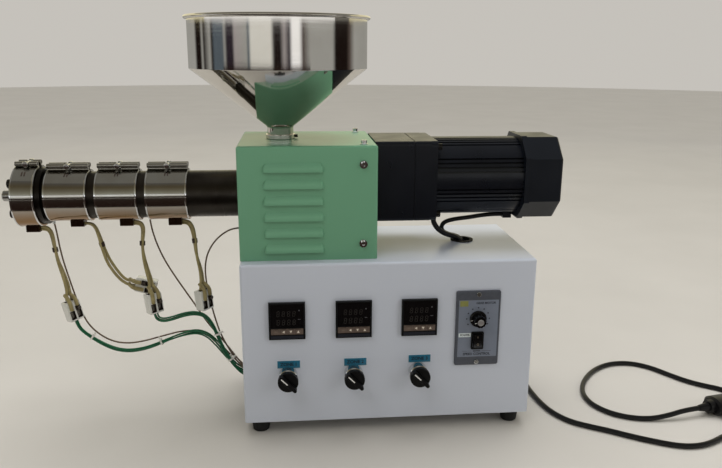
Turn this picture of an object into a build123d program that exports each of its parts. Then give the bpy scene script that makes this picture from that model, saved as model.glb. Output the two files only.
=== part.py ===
from build123d import *
import math
import os

os.makedirs("parts", exist_ok=True)

# A bench-top screw extruder for plastic filament: a white cabinet on four feet carries a green cover with a
# feed housing in it, a steel hopper above, a heated barrel to the left and a gear motor to the right.
# Millimetres, X to the right along the barrel, Y to the back, Z up from the table.

# Cabinet of folded sheet steel
cabinet_width = 378.0
cabinet_depth = 188.0
cabinet_height = 215.0
cabinet_left = -56.6
cabinet_front = -92.5
cabinet_sheet = 2.0
cabinet_bend = 3.5
foot_height = 19.0
foot_dia = 25.0
foot_inset = 20.0
foot_taper = 2.8
foot_wall = 4.2
foot_pocket = 6.0
foot_screw_hole = 5.0

# Green cover over the feed housing
cover_width = 173.5
cover_depth = 162.0
cover_height = 144.4
cover_setback = 16.5
cover_sheet = 1.6
cover_bend = 3.0
louvre_count = 6
louvre_length = 74.5
louvre_height = 11.0
louvre_depth = 4.0
louvre_wall = 1.2
louvre_pitch = 20.4
louvre_start_x = 31.5
louvre_start_z = 10.5
cover_hole_clearance = 1.0
cover_screw_x = 155.5
cover_screw_heights = (20.5, 121.0)
cover_top_screw_x = 157.0
cover_top_screw_inset = 14.0

# Feed housing inside the cover, with the bearing barrel that carries the gear motor
bearing_dia = 80.0
feed_block_left = 10.0
feed_block_right = 96.0
feed_block_width = 88.0
feed_block_top = 42.0
feed_foot_height = 10.0
feed_foot_width = 128.0
feed_hole_dia = 30.5

# Barrel and its heaters, from the cover outwards
axis_above_cabinet = 71.7
barrel_dia = 61.4
bare_barrel = 68.4
band_count = 3
band_width = 53.0
band_gap = 10.0
band_thickness = 2.4
band_clearance = 0.3
band_slit = 4.0
band_ear_height = 9.0
curl_dia = 6.4
flange_thickness = 1.6
band_screw_dia = 4.0
band_screw_head = 7.4
band_nut = 8.0
die_dia = 74.0
die_length = 37.0
die_band_width = 29.0
die_band_inset = 1.5
die_band_slit = 9.0
die_ear_height = 6.5
die_to_band = 2.4
die_bolt_circle = 54.0
die_bolt_head = 12.0
die_bolt_stand = 5.6
die_bolt_count = 4
nozzle_dia = 14.0
nozzle_stand = 20.0
nozzle_bore = 3.0
terminal_length = 17.0
terminal_width = 15.0
terminal_height = 8.0
terminal_offset = 24.0
die_terminal_offset = 5.0
probe_stand = 9.0
probe_lean = 25.0
probe_dia = 4.4
die_probe_inset = 3.2

# Hopper of spun stainless sheet
hopper_x = 52.8
hopper_dia = 227.0
hopper_sheet = 1.5
hopper_lip = 4.75
hopper_rim_height = 152.0
hopper_seam_height = 90.0
neck_dia = 34.5
neck_top = 16.0
neck_depth = 12.0
neck_clearance = 0.4

# Gear motor
motor_size = 104.0
gearbox_length = 72.0
flange_length = 8.5
motor_length = 115.0
fan_cover_length = 51.0
fan_cover_margin = 2.0
fan_cover_chamfer = 26.0
boot_length = 11.5
boot_width = 12.0
boot_height = 9.0
boot_offset = 3.0
fan_cover_wall = 2.0
hoop_length = 7.0
hoop_rise = 1.5
grille_rings = 4
grille_pitch = 8.0
grille_slot = 4.0
grille_spoke = 6.0
gearbox_seam = 22.0
motor_bolt_inset = 8.0
motor_bolt_head = 9.0
shaft_offset = 21.5
fin_groups = 8
fins_per_group = 4
fin_slot_width = 2.4
fin_slot_depth = 4.0
fin_slot_step = 6.5

# Front panel
column_x = (57.5, 142.0, 226.5)
controller_width = 46.0
controller_height = 48.8
controller_z = 141.2
controller_stand = 5.5
controller_case_inset = 1.5
controller_reach = 76.0
window_border = 2.4
window_drop = 1.6
window_height = 31.0
window_sink = 0.8
key_count = 4
key_pitch = 9.3
key_width = 7.0
key_height = 6.0
key_strip_gap = 1.2
key_strip_height = 8.4
key_strip_sink = 0.6
switch_z = 65.6
switch_ring_dia = 25.0
switch_ring_stand = 13.0
switch_hole = 22.0
switch_block_width = 30.0
switch_block_height = 40.0
switch_block_start = 12.0
switch_block_reach = 48.0
knob_dia = 26.0
knob_base = 9.5
knob_flare = 3.0
knob_grip_stand = 7.0
knob_grip_reach = 14.5
knob_grip_width = 6.4
knob_rest_angle = 45.0
running_gap = 0.5
panel_fit = 0.5
speed_x = 303.0
speed_z = 123.7
speed_width = 58.0
speed_height = 102.0
speed_stand = 3.0
speed_case_inset = 5.0
speed_case_drop = 10.0
speed_reach = 70.0
speed_screw_spacing = 93.0
speed_screw_dia = 3.6
speed_screw_head = 6.4
dial_above_centre = 13.5
dial_skirt = 22.0
dial_skirt_height = 3.0
dial_grip = 15.5
dial_stand = 14.0
dial_flutes = 12
dial_cap = 8.8
rocker_below_centre = 16.2
rocker_width = 11.5
rocker_height = 19.0
rocker_stand = 5.6
rocker_frame_wall = 1.9
rocker_frame_stand = 2.4
rocker_throw = 8.0

# Holes and leads
cable_hole = 26.0
cable_hole_x = 302.0
cable_hole_y = 101.0
grommet_wall = 1.5
grommet_lip = 2.5
grommet_stand = 1.6
lead_hole = 30.0
lead_hole_y = 98.0
lead_hole_z = 23.0
cord_dia = 7.0
cord_gland_inset = 38.0
cord_gland_z = 28.0
gland_wall = 3.0
gland_sleeve = 18.0
gland_flange = 5.0
gland_step = 2.5
lead_dia = 5.0
bundle_dia = 6.0
couple_dia = 2.2
motor_lead_dia = 7.0
fan_lead_dia = 6.0
block_size = (20.0, 15.0, 28.0)
block_screw_pit = 5.2
plug_length = 34.0
plug_width = 38.0
plug_height = 24.0
plug_relief = 14.0
plug_neck = 8.0
blade_length = 18.0
blade_spacing = 14.0

# Places worked out from the sizes above
cabinet_right = cabinet_left + cabinet_width
cabinet_back = cabinet_front + cabinet_depth
deck = foot_height + cabinet_height
cover_right = cabinet_left + cover_width
cover_front = cabinet_front + cover_setback
cover_back = cover_front + cover_depth
cover_top = deck + cover_height
axis_y = (cover_front + cover_back) / 2
axis_z = deck + axis_above_cabinet
motor_z = axis_z + shaft_offset
gearbox_end = cover_right + gearbox_length
motor_start = gearbox_end + flange_length
motor_end = motor_start + motor_length
fan_end = motor_end + fan_cover_length
band_start = cabinet_left - bare_barrel
last_band_left = band_start - band_count * band_width - (band_count - 1) * band_gap
die_back = last_band_left - die_to_band
die_face = die_back - die_length
hopper_axis_x = cabinet_left + hopper_x
speed_centre_x = cabinet_left + speed_x
speed_centre_z = foot_height + speed_z
speed_face = cabinet_front - speed_stand
fan_cover_size = motor_size + 2 * fan_cover_margin
gland_x = cabinet_right - cord_gland_inset
gland_z = foot_height + cord_gland_z


def block(x, y, z):
    """A box between two corners, each of x, y and z a low and a high value."""
    middle = [(a + b) / 2 for a, b in (x, y, z)]
    size = [b - a for a, b in (x, y, z)]
    return Pos(*middle) * Box(*size)


def rod_x(dia, x0, x1, y, z):
    return Pos((x0 + x1) / 2, y, z) * Rot(0, 90, 0) * Cylinder(dia / 2, abs(x1 - x0))


def rod_y(dia, y0, y1, x, z):
    return Pos(x, (y0 + y1) / 2, z) * Rot(90, 0, 0) * Cylinder(dia / 2, abs(y1 - y0))


def rod_z(dia, z0, z1, x, y):
    return Pos(x, y, (z0 + z1) / 2) * Cylinder(dia / 2, abs(z1 - z0))


def along_x(sketch, x0, length):
    """Extrude a section drawn with its own X as +Y and its own Y as +Z, from x0 towards +X."""
    plane = Plane(origin=(x0, 0, 0), x_dir=(0, 1, 0), z_dir=(1, 0, 0))
    return extrude(plane * sketch, amount=length)


def towards_front(sketch, y0, length):
    """Extrude a section drawn in X and Z from y0 towards the front."""
    plane = Plane(origin=(0, y0, 0), x_dir=(1, 0, 0), z_dir=(0, -1, 0))
    return extrude(plane * sketch, amount=length)


def save(name, *solids):
    """Write one node, of one solid or of several that don't touch."""
    shape = solids[0] if len(solids) == 1 else Compound(list(solids))
    export_step(shape, f"parts/{name}.step")


# Cabinet: front, top and sides are one folded sheet, closed by a base plate and a back panel
def panel_x(column):
    return cabinet_left + column_x[column]


def cabinet_cutouts():
    through = (cabinet_front - 1, cabinet_front + cabinet_sheet + 1)
    cuts = []
    half_width = controller_width / 2 - controller_case_inset + panel_fit
    half_height = controller_height / 2 - controller_case_inset + panel_fit
    for column in range(len(column_x)):
        x = panel_x(column)
        z = foot_height + controller_z
        cuts.append(block((x - half_width, x + half_width), through, (z - half_height, z + half_height)))
        cuts.append(rod_y(switch_hole + panel_fit, *through, x, foot_height + switch_z))
    x = cabinet_left + speed_x
    z = foot_height + speed_z
    half_width = speed_width / 2 - speed_case_inset + panel_fit
    half_height = speed_height / 2 - speed_case_drop + panel_fit
    cuts.append(block((x - half_width, x + half_width), through, (z - half_height, z + half_height)))
    top = (deck - cabinet_sheet - 1, deck + 1)
    cuts.append(rod_z(cable_hole, *top, cabinet_left + cable_hole_x, cabinet_front + cable_hole_y))
    side = (cabinet_left - 1, cabinet_left + cabinet_sheet + 1)
    cuts.append(rod_x(lead_hole, *side, cabinet_front + lead_hole_y, foot_height + lead_hole_z))
    return cuts


def cabinet_housing():
    outer = block((cabinet_left, cabinet_right), (cabinet_front, cabinet_back), (foot_height, deck))
    upright = outer.edges().filter_by(Axis.Z).group_by(Axis.Y)[0]
    upper = outer.faces().sort_by(Axis.Z)[-1].edges().sort_by(Axis.Y)[:-1]
    outer = fillet(list(upright) + list(upper), cabinet_bend)
    inner = block(
        (cabinet_left + cabinet_sheet, cabinet_right - cabinet_sheet),
        (cabinet_front + cabinet_sheet, cabinet_back + 1),
        (foot_height - 1, deck - cabinet_sheet),
    )
    inner_upright = inner.edges().filter_by(Axis.Z).group_by(Axis.Y)[0]
    inner = fillet(list(inner_upright), cabinet_bend - cabinet_sheet)
    shell = outer - inner
    for cut in cabinet_cutouts():
        shell = shell - cut
    return shell


def cabinet_base():
    plate = block(
        (cabinet_left + cabinet_sheet, cabinet_right - cabinet_sheet),
        (cabinet_front + cabinet_sheet, cabinet_back - cabinet_sheet),
        (foot_height, foot_height + cabinet_sheet),
    )
    corners = plate.edges().filter_by(Axis.Z).group_by(Axis.Y)[0]
    return fillet(list(corners), cabinet_bend - cabinet_sheet)


def cabinet_back_panel():
    panel = block(
        (cabinet_left + cabinet_sheet, cabinet_right - cabinet_sheet),
        (cabinet_back - cabinet_sheet, cabinet_back),
        (foot_height, deck - cabinet_sheet),
    )
    bore = cord_dia + 2 * gland_wall
    return panel - rod_y(bore, cabinet_back - 2 * cabinet_sheet, cabinet_back + 1, gland_x, gland_z)


def foot(x, y):
    """A moulded rubber foot, wider at the top, with a pocket for its screw underneath."""
    top = foot_dia / 2
    bottom = top - foot_taper
    pocket = bottom - foot_wall
    bore = foot_screw_hole / 2
    profile = Polyline(
        (bore, foot_height), (top, foot_height), (top, foot_height - 4), (bottom + 1, 1), (bottom, 0),
        (pocket, 0), (pocket, foot_pocket), (bore, foot_pocket), close=True,
    )
    return Pos(x, y, 0) * revolve(make_face(Plane.XZ * profile), Axis.Z)


# Front panel pieces
def controller(column):
    """A temperature controller: bezel, sunk display, a row of keys, and its case behind the panel."""
    x = panel_x(column)
    z = foot_height + controller_z
    face = cabinet_front - controller_stand
    half_width = controller_width / 2
    half_height = controller_height / 2
    bezel = block((x - half_width, x + half_width), (face, cabinet_front), (z - half_height, z + half_height))
    bezel = fillet(list(bezel.faces().sort_by(Axis.Y)[0].edges()), 1.0)
    sides = (x - half_width + window_border, x + half_width - window_border)
    window_top = z + half_height - window_drop
    strip_top = window_top - window_height - key_strip_gap
    strip_middle = strip_top - key_strip_height / 2
    bezel = bezel - block(sides, (face - 1, face + window_sink), (window_top - window_height, window_top))
    bezel = bezel - block(sides, (face - 1, face + key_strip_sink), (strip_top - key_strip_height, strip_top))
    for key in range(key_count):
        key_x = x + (key - (key_count - 1) / 2) * key_pitch
        bezel = bezel + block(
            (key_x - key_width / 2, key_x + key_width / 2), (face + 0.1, face + 1),
            (strip_middle - key_height / 2, strip_middle + key_height / 2),
        )
    half_width -= controller_case_inset
    half_height -= controller_case_inset
    depth = (cabinet_front, cabinet_front + controller_reach)
    return bezel + block((x - half_width, x + half_width), depth, (z - half_height, z + half_height))


def switch_ring(column):
    """The chrome collar of a selector switch with its neck through the panel and its contact block."""
    x = panel_x(column)
    z = foot_height + switch_z
    collar = rod_y(switch_ring_dia, cabinet_front - switch_ring_stand, cabinet_front, x, z)
    collar = chamfer(collar.faces().sort_by(Axis.Y)[0].edges(), 1.2)
    neck = rod_y(switch_hole, cabinet_front, cabinet_front + switch_block_start, x, z)
    contacts = block(
        (x - switch_block_width / 2, x + switch_block_width / 2),
        (cabinet_front + switch_block_start, cabinet_front + switch_block_reach),
        (z - switch_block_height / 2, z + switch_block_height / 2),
    )
    return collar + neck + contacts


def switch_knob(column):
    """A selector handle: a round base that flares out from the collar, and a tapered grip bar across it."""
    rear = cabinet_front - switch_ring_stand - running_gap
    base = rod_y(knob_dia, rear - knob_base, rear, 0, 0)
    base = chamfer(base.faces().sort_by(Axis.Y)[-1].edges(), knob_flare)
    base = fillet(base.faces().sort_by(Axis.Y)[0].edges(), 1.0)
    broad = knob_grip_width / 2
    narrow = broad - 0.8
    grip = make_hull(
        (Pos(0, knob_grip_reach - broad) * Circle(broad)).edges()
        + (Pos(0, narrow - knob_grip_reach) * Circle(narrow)).edges()
    )
    bar = towards_front(grip, rear - knob_base + 1, knob_grip_stand + 1)
    bar = fillet(list(bar.faces().sort_by(Axis.Y)[0].edges()), 1.0)
    knob = Rot(0, -knob_rest_angle, 0) * (base + bar)
    return Pos(panel_x(column), 0, foot_height + switch_z) * knob


def speed_controller():
    """A flat face plate with rounded corners, and the case behind it."""
    x = speed_centre_x
    z = speed_centre_z
    half_width = speed_width / 2
    half_height = speed_height / 2
    plate = block(
        (x - half_width, x + half_width), (speed_face, cabinet_front), (z - half_height, z + half_height),
    )
    plate = fillet(list(plate.edges().filter_by(Axis.Y)), 2.5)
    plate = fillet(list(plate.faces().sort_by(Axis.Y)[0].edges()), 0.8)
    for side in (-1, 1):
        screw_z = z + side * speed_screw_spacing / 2
        plate = plate - rod_y(speed_screw_dia + panel_fit, speed_face - 1, cabinet_front + 1, x, screw_z)
    half_width -= speed_case_inset
    half_height -= speed_case_drop
    depth = (cabinet_front, cabinet_front + speed_reach)
    return plate + block((x - half_width, x + half_width), depth, (z - half_height, z + half_height))


def speed_screws():
    """Two slotted dome-head screws that hold the face plate to the cabinet."""
    screws = []
    for side in (-1, 1):
        z = speed_centre_z + side * speed_screw_spacing / 2
        head = rod_y(speed_screw_head, speed_face - 1.6, speed_face, speed_centre_x, z)
        head = fillet(head.faces().sort_by(Axis.Y)[0].edges(), 0.9)
        shank = rod_y(speed_screw_dia, speed_face, cabinet_front, speed_centre_x, z)
        slot = block(
            (speed_centre_x - 2, speed_centre_x + 2), (speed_face - 2, speed_face - 0.9), (z - 0.5, z + 0.5),
        )
        screws.append(head + shank - slot)
    return screws


def speed_knob():
    """A turned knob: wide skirt, fluted grip and a bright cap."""
    rear = speed_face - running_gap
    step = rear - dial_skirt_height
    front = rear - dial_stand
    skirt = rod_y(dial_skirt, step, rear, 0, 0)
    skirt = chamfer(skirt.faces().sort_by(Axis.Y)[0].edges(), 1.4)
    grip = rod_y(dial_grip, front, step, 0, 0)
    flute = rod_y(2.2, front - 1, step - 1, dial_grip / 2 + 0.4, 0)
    for k in range(dial_flutes):
        grip = grip - Rot(0, 360 / dial_flutes * k, 0) * flute
    cap = rod_y(dial_cap, front - 1.2, front, 0, 0)
    cap = chamfer(cap.faces().sort_by(Axis.Y)[0].edges(), 0.5)
    return Pos(speed_centre_x, 0, speed_centre_z + dial_above_centre) * (skirt + grip + cap)


def rocker_frame():
    x = speed_centre_x
    z = speed_centre_z - rocker_below_centre
    half_width = rocker_width / 2 + running_gap
    half_height = rocker_height / 2 + running_gap
    wall = rocker_frame_wall
    outer = block(
        (x - half_width - wall, x + half_width + wall), (speed_face - rocker_frame_stand, speed_face),
        (z - half_height - wall, z + half_height + wall),
    )
    outer = fillet(list(outer.edges().filter_by(Axis.Y)), 1.2)
    through = (speed_face - rocker_frame_stand - 1, speed_face + 1)
    return outer - block((x - half_width, x + half_width), through, (z - half_height, z + half_height))


def power_rocker():
    """A rocker of two faces that meet in a shallow valley, pressed in at its upper end."""
    half = rocker_height / 2 - 0.3
    front = -rocker_stand
    outline = Polyline(
        (-2.2, -half), (-0.5, 0), (-2.2, half), (front, half - 0.6), (front + 1.4, 0), (front, 0.6 - half),
        close=True,
    )
    rocker = along_x(make_face(outline), -rocker_width / 2, rocker_width)
    place = Pos(speed_centre_x, speed_face, speed_centre_z - rocker_below_centre)
    return place * Rot(-rocker_throw, 0, 0) * rocker


# Cover with pressed louvres
def louvre_section(height, depth):
    """Half of a pressed hood, which stands furthest out at its open lower edge."""
    top = (0, height)
    lip = (-depth, height * 0.18)
    arc = ThreePointArc(top, (-depth * 0.72, height * 0.66), lip)
    outline = [arc, Line(lip, (-depth, 0)), Line((-depth, 0), (0, 0)), Line((0, 0), top)]
    return make_face(outline)


def louvre_body(height, depth, length):
    """The hood with round ends, its lower left corner at the origin of the sheet's face."""
    section = louvre_section(height, depth)
    straight = along_x(section, depth, length - 2 * depth)
    dome = revolve(Plane(origin=(0, 0, 0), x_dir=(0, 1, 0), z_dir=(1, 0, 0)) * section, Axis.Z)
    front_half = dome & block((-2 * depth, 2 * depth), (-2 * depth, 0), (-1, height + 1))
    ends = [Pos(x, 0, 0) * front_half for x in (depth, length - depth)]
    return straight + ends[0] + ends[1]


def green_cover():
    outer = block((cabinet_left, cover_right), (cover_front, cover_back), (deck, cover_top))
    edges = list(outer.edges().filter_by(Axis.Z)) + list(outer.faces().sort_by(Axis.Z)[-1].edges())
    outer = fillet(edges, cover_bend)
    inner = block(
        (cabinet_left + cover_sheet, cover_right - cover_sheet),
        (cover_front + cover_sheet, cover_back - cover_sheet),
        (deck - 1, cover_top - cover_sheet),
    )
    cover = outer - inner
    reach = cover_sheet + 1
    gap = 2 * cover_hole_clearance
    cover = cover - rod_x(barrel_dia + gap, cabinet_left - 1, cabinet_left + reach, axis_y, axis_z)
    cover = cover - rod_x(bearing_dia + gap, cover_right - reach, cover_right + 1, axis_y, axis_z)
    neck_hole = neck_dia + 2 * neck_clearance
    cover = cover - rod_z(neck_hole, cover_top - reach, cover_top + 1, hopper_axis_x, axis_y)
    wall = louvre_wall
    hood = louvre_body(louvre_height, louvre_depth, louvre_length)
    hollow = louvre_body(louvre_height - wall, louvre_depth - wall, louvre_length - 2 * wall)
    slot_width = (louvre_depth, louvre_length - louvre_depth)
    slot = block(slot_width, (-0.1, cover_sheet + 1), (0, louvre_height - 2 * louvre_wall))
    for k in range(louvre_count):
        place = Pos(cabinet_left + louvre_start_x, cover_front, deck + louvre_start_z + k * louvre_pitch)
        cover = cover + place * hood
        cover = cover - place * (Pos(wall, 0, -0.01) * hollow + slot)
    return cover


# Feed housing under the hopper, with the bearing barrel that carries the gear motor
def feed_housing():
    left = cabinet_left + feed_block_left
    right = cabinet_left + feed_block_right
    top = axis_z + feed_block_top
    body = block((left, right), (axis_y - feed_block_width / 2, axis_y + feed_block_width / 2), (deck, top))
    half_foot = feed_foot_width / 2
    foot_sides = (axis_y - half_foot, axis_y + half_foot)
    foot_plate = block((left, right), foot_sides, (deck, deck + feed_foot_height))
    bearing = rod_x(bearing_dia, right, cover_right, axis_y, axis_z)
    socket = rod_z(neck_dia + 2 * neck_clearance, top - neck_depth, top + 1, hopper_axis_x, axis_y)
    feed_hole = rod_z(feed_hole_dia, axis_z, top, hopper_axis_x, axis_y)
    return body + foot_plate + bearing - socket - feed_hole


def hopper():
    """Straight wall, cone and neck in one skin, with a rolled lip at the rim."""
    foot = axis_z + feed_block_top - neck_depth + neck_clearance
    radius = hopper_dia / 2
    rim = cover_top + hopper_rim_height
    seam = cover_top + hopper_seam_height
    throat = cover_top + neck_top
    neck = neck_dia / 2
    t = hopper_sheet
    outline = Polyline(
        (neck - t, foot), (neck, foot), (neck, throat), (radius, seam), (radius, rim),
        (radius - t, rim), (radius - t, seam + 0.4), (neck - t, throat + 0.6), close=True,
    )
    shell = revolve(make_face(Plane.XZ * outline), Axis.Z)
    bead = Pos(0, 0, rim) * Torus(radius + hopper_lip / 2 - t / 2, hopper_lip / 2)
    return Pos(hopper_axis_x, axis_y, 0) * (shell + bead)


# Barrel, die and heaters
def barrel():
    start = cabinet_left + feed_block_left
    return rod_x(barrel_dia, die_back, start, axis_y, axis_z)


def die_head():
    head = rod_x(die_dia, die_face, die_back, axis_y, axis_z)
    head = chamfer(head.faces().sort_by(Axis.X)[0].edges(), 1.0)
    return head


def nozzle():
    tip = rod_x(nozzle_dia, die_face - nozzle_stand, die_face, axis_y, axis_z)
    tip = chamfer(tip.faces().sort_by(Axis.X)[0].edges(), 1.2)
    return tip - rod_x(nozzle_bore, die_face - nozzle_stand - 1, die_face + 1, axis_y, axis_z)


def die_bolts():
    bolts = []
    for k in range(die_bolt_count):
        angle = 2 * math.pi / die_bolt_count * (k + 0.5)
        y = axis_y + die_bolt_circle / 2 * math.cos(angle)
        z = axis_z + die_bolt_circle / 2 * math.sin(angle)
        head = rod_x(die_bolt_head, die_face - die_bolt_stand, die_face, y, z)
        head = chamfer(head.faces().sort_by(Axis.X)[0].edges(), 0.8)
        socket = Rot(0, 90, 0) * extrude(RegularPolygon(die_bolt_head / 4, 6), amount=4)
        bolts.append(head - Pos(die_face - die_bolt_stand - 1, y, z) * socket)
    return bolts


def band_left(index):
    """The left edge of heater band number index, counted from the die, where 0 is the die's own band."""
    if index == 0:
        return die_face + die_band_inset
    return last_band_left + (index - 1) * (band_width + band_gap)


def band_inner(index):
    carrier = die_dia if index == 0 else barrel_dia
    return carrier / 2 + band_clearance


def band_length(index):
    return die_band_width if index == 0 else band_width


def slit_width(index):
    return die_band_slit if index == 0 else band_slit


def curl_centre(index):
    """Where the rolled ear beside the slit sits, across from the band's axis and above it."""
    across = slit_width(index) / 2 + curl_dia / 2
    height = die_ear_height if index == 0 else band_ear_height
    return across, band_inner(index) + band_thickness + height - curl_dia / 2


def heater_band(index):
    """A split steel band whose edges turn up beside the slit and end in rolled ears."""
    inner = band_inner(index)
    slit = slit_width(index)
    across, up = curl_centre(index)
    ring = Circle(inner + band_thickness) - Circle(inner)
    ring = ring - Pos(0, inner) * Rectangle(slit, inner)
    for side in (-1, 1):
        ring = ring + Pos(side * across, up) * Circle(curl_dia / 2)
        flange = Rectangle(flange_thickness, up - inner)
        ring = ring + Pos(side * (slit + flange_thickness) / 2, (inner + up) / 2) * flange
    ring = ring - Circle(inner)
    band = along_x(Pos(axis_y, axis_z) * ring, band_left(index), band_length(index))
    middle = band_left(index) + band_length(index) / 2
    reach = across + curl_dia
    return band - rod_y(band_screw_dia + 0.4, axis_y - reach, axis_y + reach, middle, axis_z + up)


def band_screw(index):
    across, up = curl_centre(index)
    x = band_left(index) + band_length(index) / 2
    z = axis_z + up
    face = across + curl_dia / 2
    thick = 0.4 * band_nut
    shank = rod_y(band_screw_dia, axis_y - face - 2.6, axis_y + face + thick + 1.8, x, z)
    head = rod_y(band_screw_head, axis_y - face - thick, axis_y - face - 0.05, x, z)
    head = fillet(head.faces().sort_by(Axis.Y)[0].edges(), 1.0)
    hexagon = extrude(RegularPolygon(band_nut / 2, 6), amount=thick)
    nut = Pos(x, axis_y + face + 0.05, z) * Rot(-90, 0, 0) * hexagon
    return shank + head + nut


def terminal_x(index):
    offset = die_terminal_offset if index == 0 else terminal_offset
    return band_left(index) + offset


def terminal(index):
    """The folded box under a band from which its two leads come out."""
    x = terminal_x(index)
    outer = band_inner(index) + band_thickness
    half = terminal_width / 2
    under = axis_z - outer
    sides = (axis_y - half, axis_y + half)
    body = block((x, x + terminal_length), sides, (under - terminal_height, under + 1))
    body = body - rod_x(2 * outer, x - 1, x + terminal_length + 1, axis_y, axis_z)
    return fillet(list(body.faces().sort_by(Axis.Z)[0].edges().filter_by(Axis.X)), 1.5)


def thermocouple(x, carrier):
    """A bayonet probe screwed into the underside of the steel, leaning to the back."""
    stem = rod_z(probe_dia, -carrier / 2 - probe_stand, -carrier / 2, x, 0)
    collar = rod_z(probe_dia + 1.2, -carrier / 2 - probe_stand + 3, -carrier / 2 - 2, x, 0)
    return Pos(0, axis_y, axis_z) * Rot(probe_lean, 0, 0) * (stem + collar)


# Gear motor
def gearbox():
    half = motor_size / 2
    case = block((cover_right, gearbox_end), (axis_y - half, axis_y + half), (motor_z - half, motor_z + half))
    case = fillet(list(case.edges().filter_by(Axis.X)), 5)
    around = Rectangle(motor_size + 4, motor_size + 4) - Rectangle(motor_size - 1.6, motor_size - 1.6)
    return case - along_x(Pos(axis_y, motor_z) * around, gearbox_end - gearbox_seam, 1.2)


def motor_flange():
    half = motor_size / 2
    sides = (axis_y - half, axis_y + half)
    plate = block((gearbox_end, motor_start), sides, (motor_z - half, motor_z + half))
    return fillet(list(plate.edges().filter_by(Axis.X)), 7)


def motor_bolts():
    reach = motor_size / 2 - motor_bolt_inset
    bolts = []
    for sy in (-1, 1):
        for sz in (-1, 1):
            y = axis_y + sy * reach
            z = motor_z + sz * reach
            head = rod_x(motor_bolt_head, motor_start, motor_start + 6, y, z)
            socket = Pos(motor_start + 3, y, z) * Rot(0, 90, 0) * extrude(RegularPolygon(2.6, 6), amount=4)
            bolts.append(head - socket)
    return bolts


def motor_body():
    """A round extruded housing with groups of lengthwise cooling slots between smooth lands."""
    radius = motor_size / 2
    section = Circle(radius)
    for group in range(fin_groups):
        for slot in range(fins_per_group):
            centre = 360 / fin_groups * (group + 0.5)
            angle = centre + (slot - (fins_per_group - 1) / 2) * fin_slot_step
            groove = Pos(radius, 0) * Rectangle(2 * fin_slot_depth, fin_slot_width)
            section = section - Rot(0, 0, angle) * groove
    reach = motor_size / 2 - motor_bolt_inset
    for sy in (-1, 1):
        for sz in (-1, 1):
            section = section - Pos(sy * reach, sz * reach) * Circle(motor_bolt_head / 2 + 1.5)
    return along_x(Pos(axis_y, motor_z) * section, motor_start, motor_length)


def fan_section(size):
    return chamfer(Rectangle(size, size).vertices(), fan_cover_chamfer)


def fan_cover():
    """A pressed cover of eight sides with a raised hoop where it meets the motor and a slotted end."""
    place = Pos(axis_y, motor_z)
    inside = fan_cover_size - 2 * fan_cover_wall
    cover = along_x(place * fan_section(fan_cover_size), motor_end, fan_cover_length)
    cover = fillet(list(cover.faces().sort_by(Axis.X)[-1].edges()), 4)
    cover = cover + along_x(place * fan_section(fan_cover_size + 2 * hoop_rise), motor_end, hoop_length)
    cover = cover - along_x(place * fan_section(inside), motor_end - 1, fan_cover_length - fan_cover_wall + 1)
    slots = Sketch()
    for ring in range(grille_rings):
        middle = (ring + 2.25) * grille_pitch
        slots = slots + (Circle(middle + grille_slot / 2) - Circle(middle - grille_slot / 2))
    slots = slots - Rectangle(fan_cover_size, grille_spoke) - Rectangle(grille_spoke, fan_cover_size)
    cover = cover - along_x(place * slots, fan_end - fan_cover_wall - 1, fan_cover_wall + 2)
    rim = fan_section(inside) - Circle(motor_size / 2 - motor_bolt_inset)
    cover = cover + along_x(place * rim, motor_end, fan_cover_wall)
    middle = axis_y + boot_offset
    under = motor_z - motor_size / 2
    boot = block(
        (motor_end - boot_length, motor_end), (middle - boot_width / 2, middle + boot_width / 2),
        (under - boot_height, under + 2),
    )
    return cover + (boot - rod_x(motor_size, motor_end - boot_length - 1, motor_end + 1, axis_y, motor_z))


def cap_screw(x, y, z, direction):
    """A small socket head screw, its underside on the sheet at the point, pointing out along direction."""
    head = Cylinder(3.6, 4.2, align=(Align.CENTER, Align.CENTER, Align.MIN))
    head = head - Pos(0, 0, 2.2) * extrude(RegularPolygon(1.7, 6), amount=3)
    washer = Cylinder(5.0, 1.0, align=(Align.CENTER, Align.CENTER, Align.MIN))
    screw = washer + Pos(0, 0, 1) * head
    return Plane(origin=(x, y, z), z_dir=direction) * screw


def cover_screws():
    x = cabinet_left + cover_screw_x
    top_x = cabinet_left + cover_top_screw_x
    inset = cover_top_screw_inset
    front = [cap_screw(x, cover_front, deck + z, (0, -1, 0)) for z in cover_screw_heights]
    back = [cap_screw(x, cover_back, deck + z, (0, 1, 0)) for z in cover_screw_heights]
    top = [cap_screw(top_x, y, cover_top, (0, 0, 1)) for y in (cover_front + inset, cover_back - inset)]
    return front + back + top


# Grommets and the cord's gland
def grommet(hole):
    """A rubber bush along Z in a hole of the sheet, its lip lying on the outer face at z = 0."""
    inner = hole / 2 - grommet_wall
    profile = Polyline(
        (inner, -cabinet_sheet), (hole / 2, -cabinet_sheet), (hole / 2, 0), (hole / 2 + grommet_lip, 0),
        (hole / 2 + grommet_lip, grommet_stand), (inner, grommet_stand), close=True,
    )
    return revolve(make_face(Plane.XZ * profile), Axis.Z)


def cable_grommet():
    return Pos(cabinet_left + cable_hole_x, cabinet_front + cable_hole_y, deck) * grommet(cable_hole)


def lead_grommet():
    place = Pos(cabinet_left, cabinet_front + lead_hole_y, foot_height + lead_hole_z)
    return place * Rot(0, -90, 0) * grommet(lead_hole)


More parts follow.
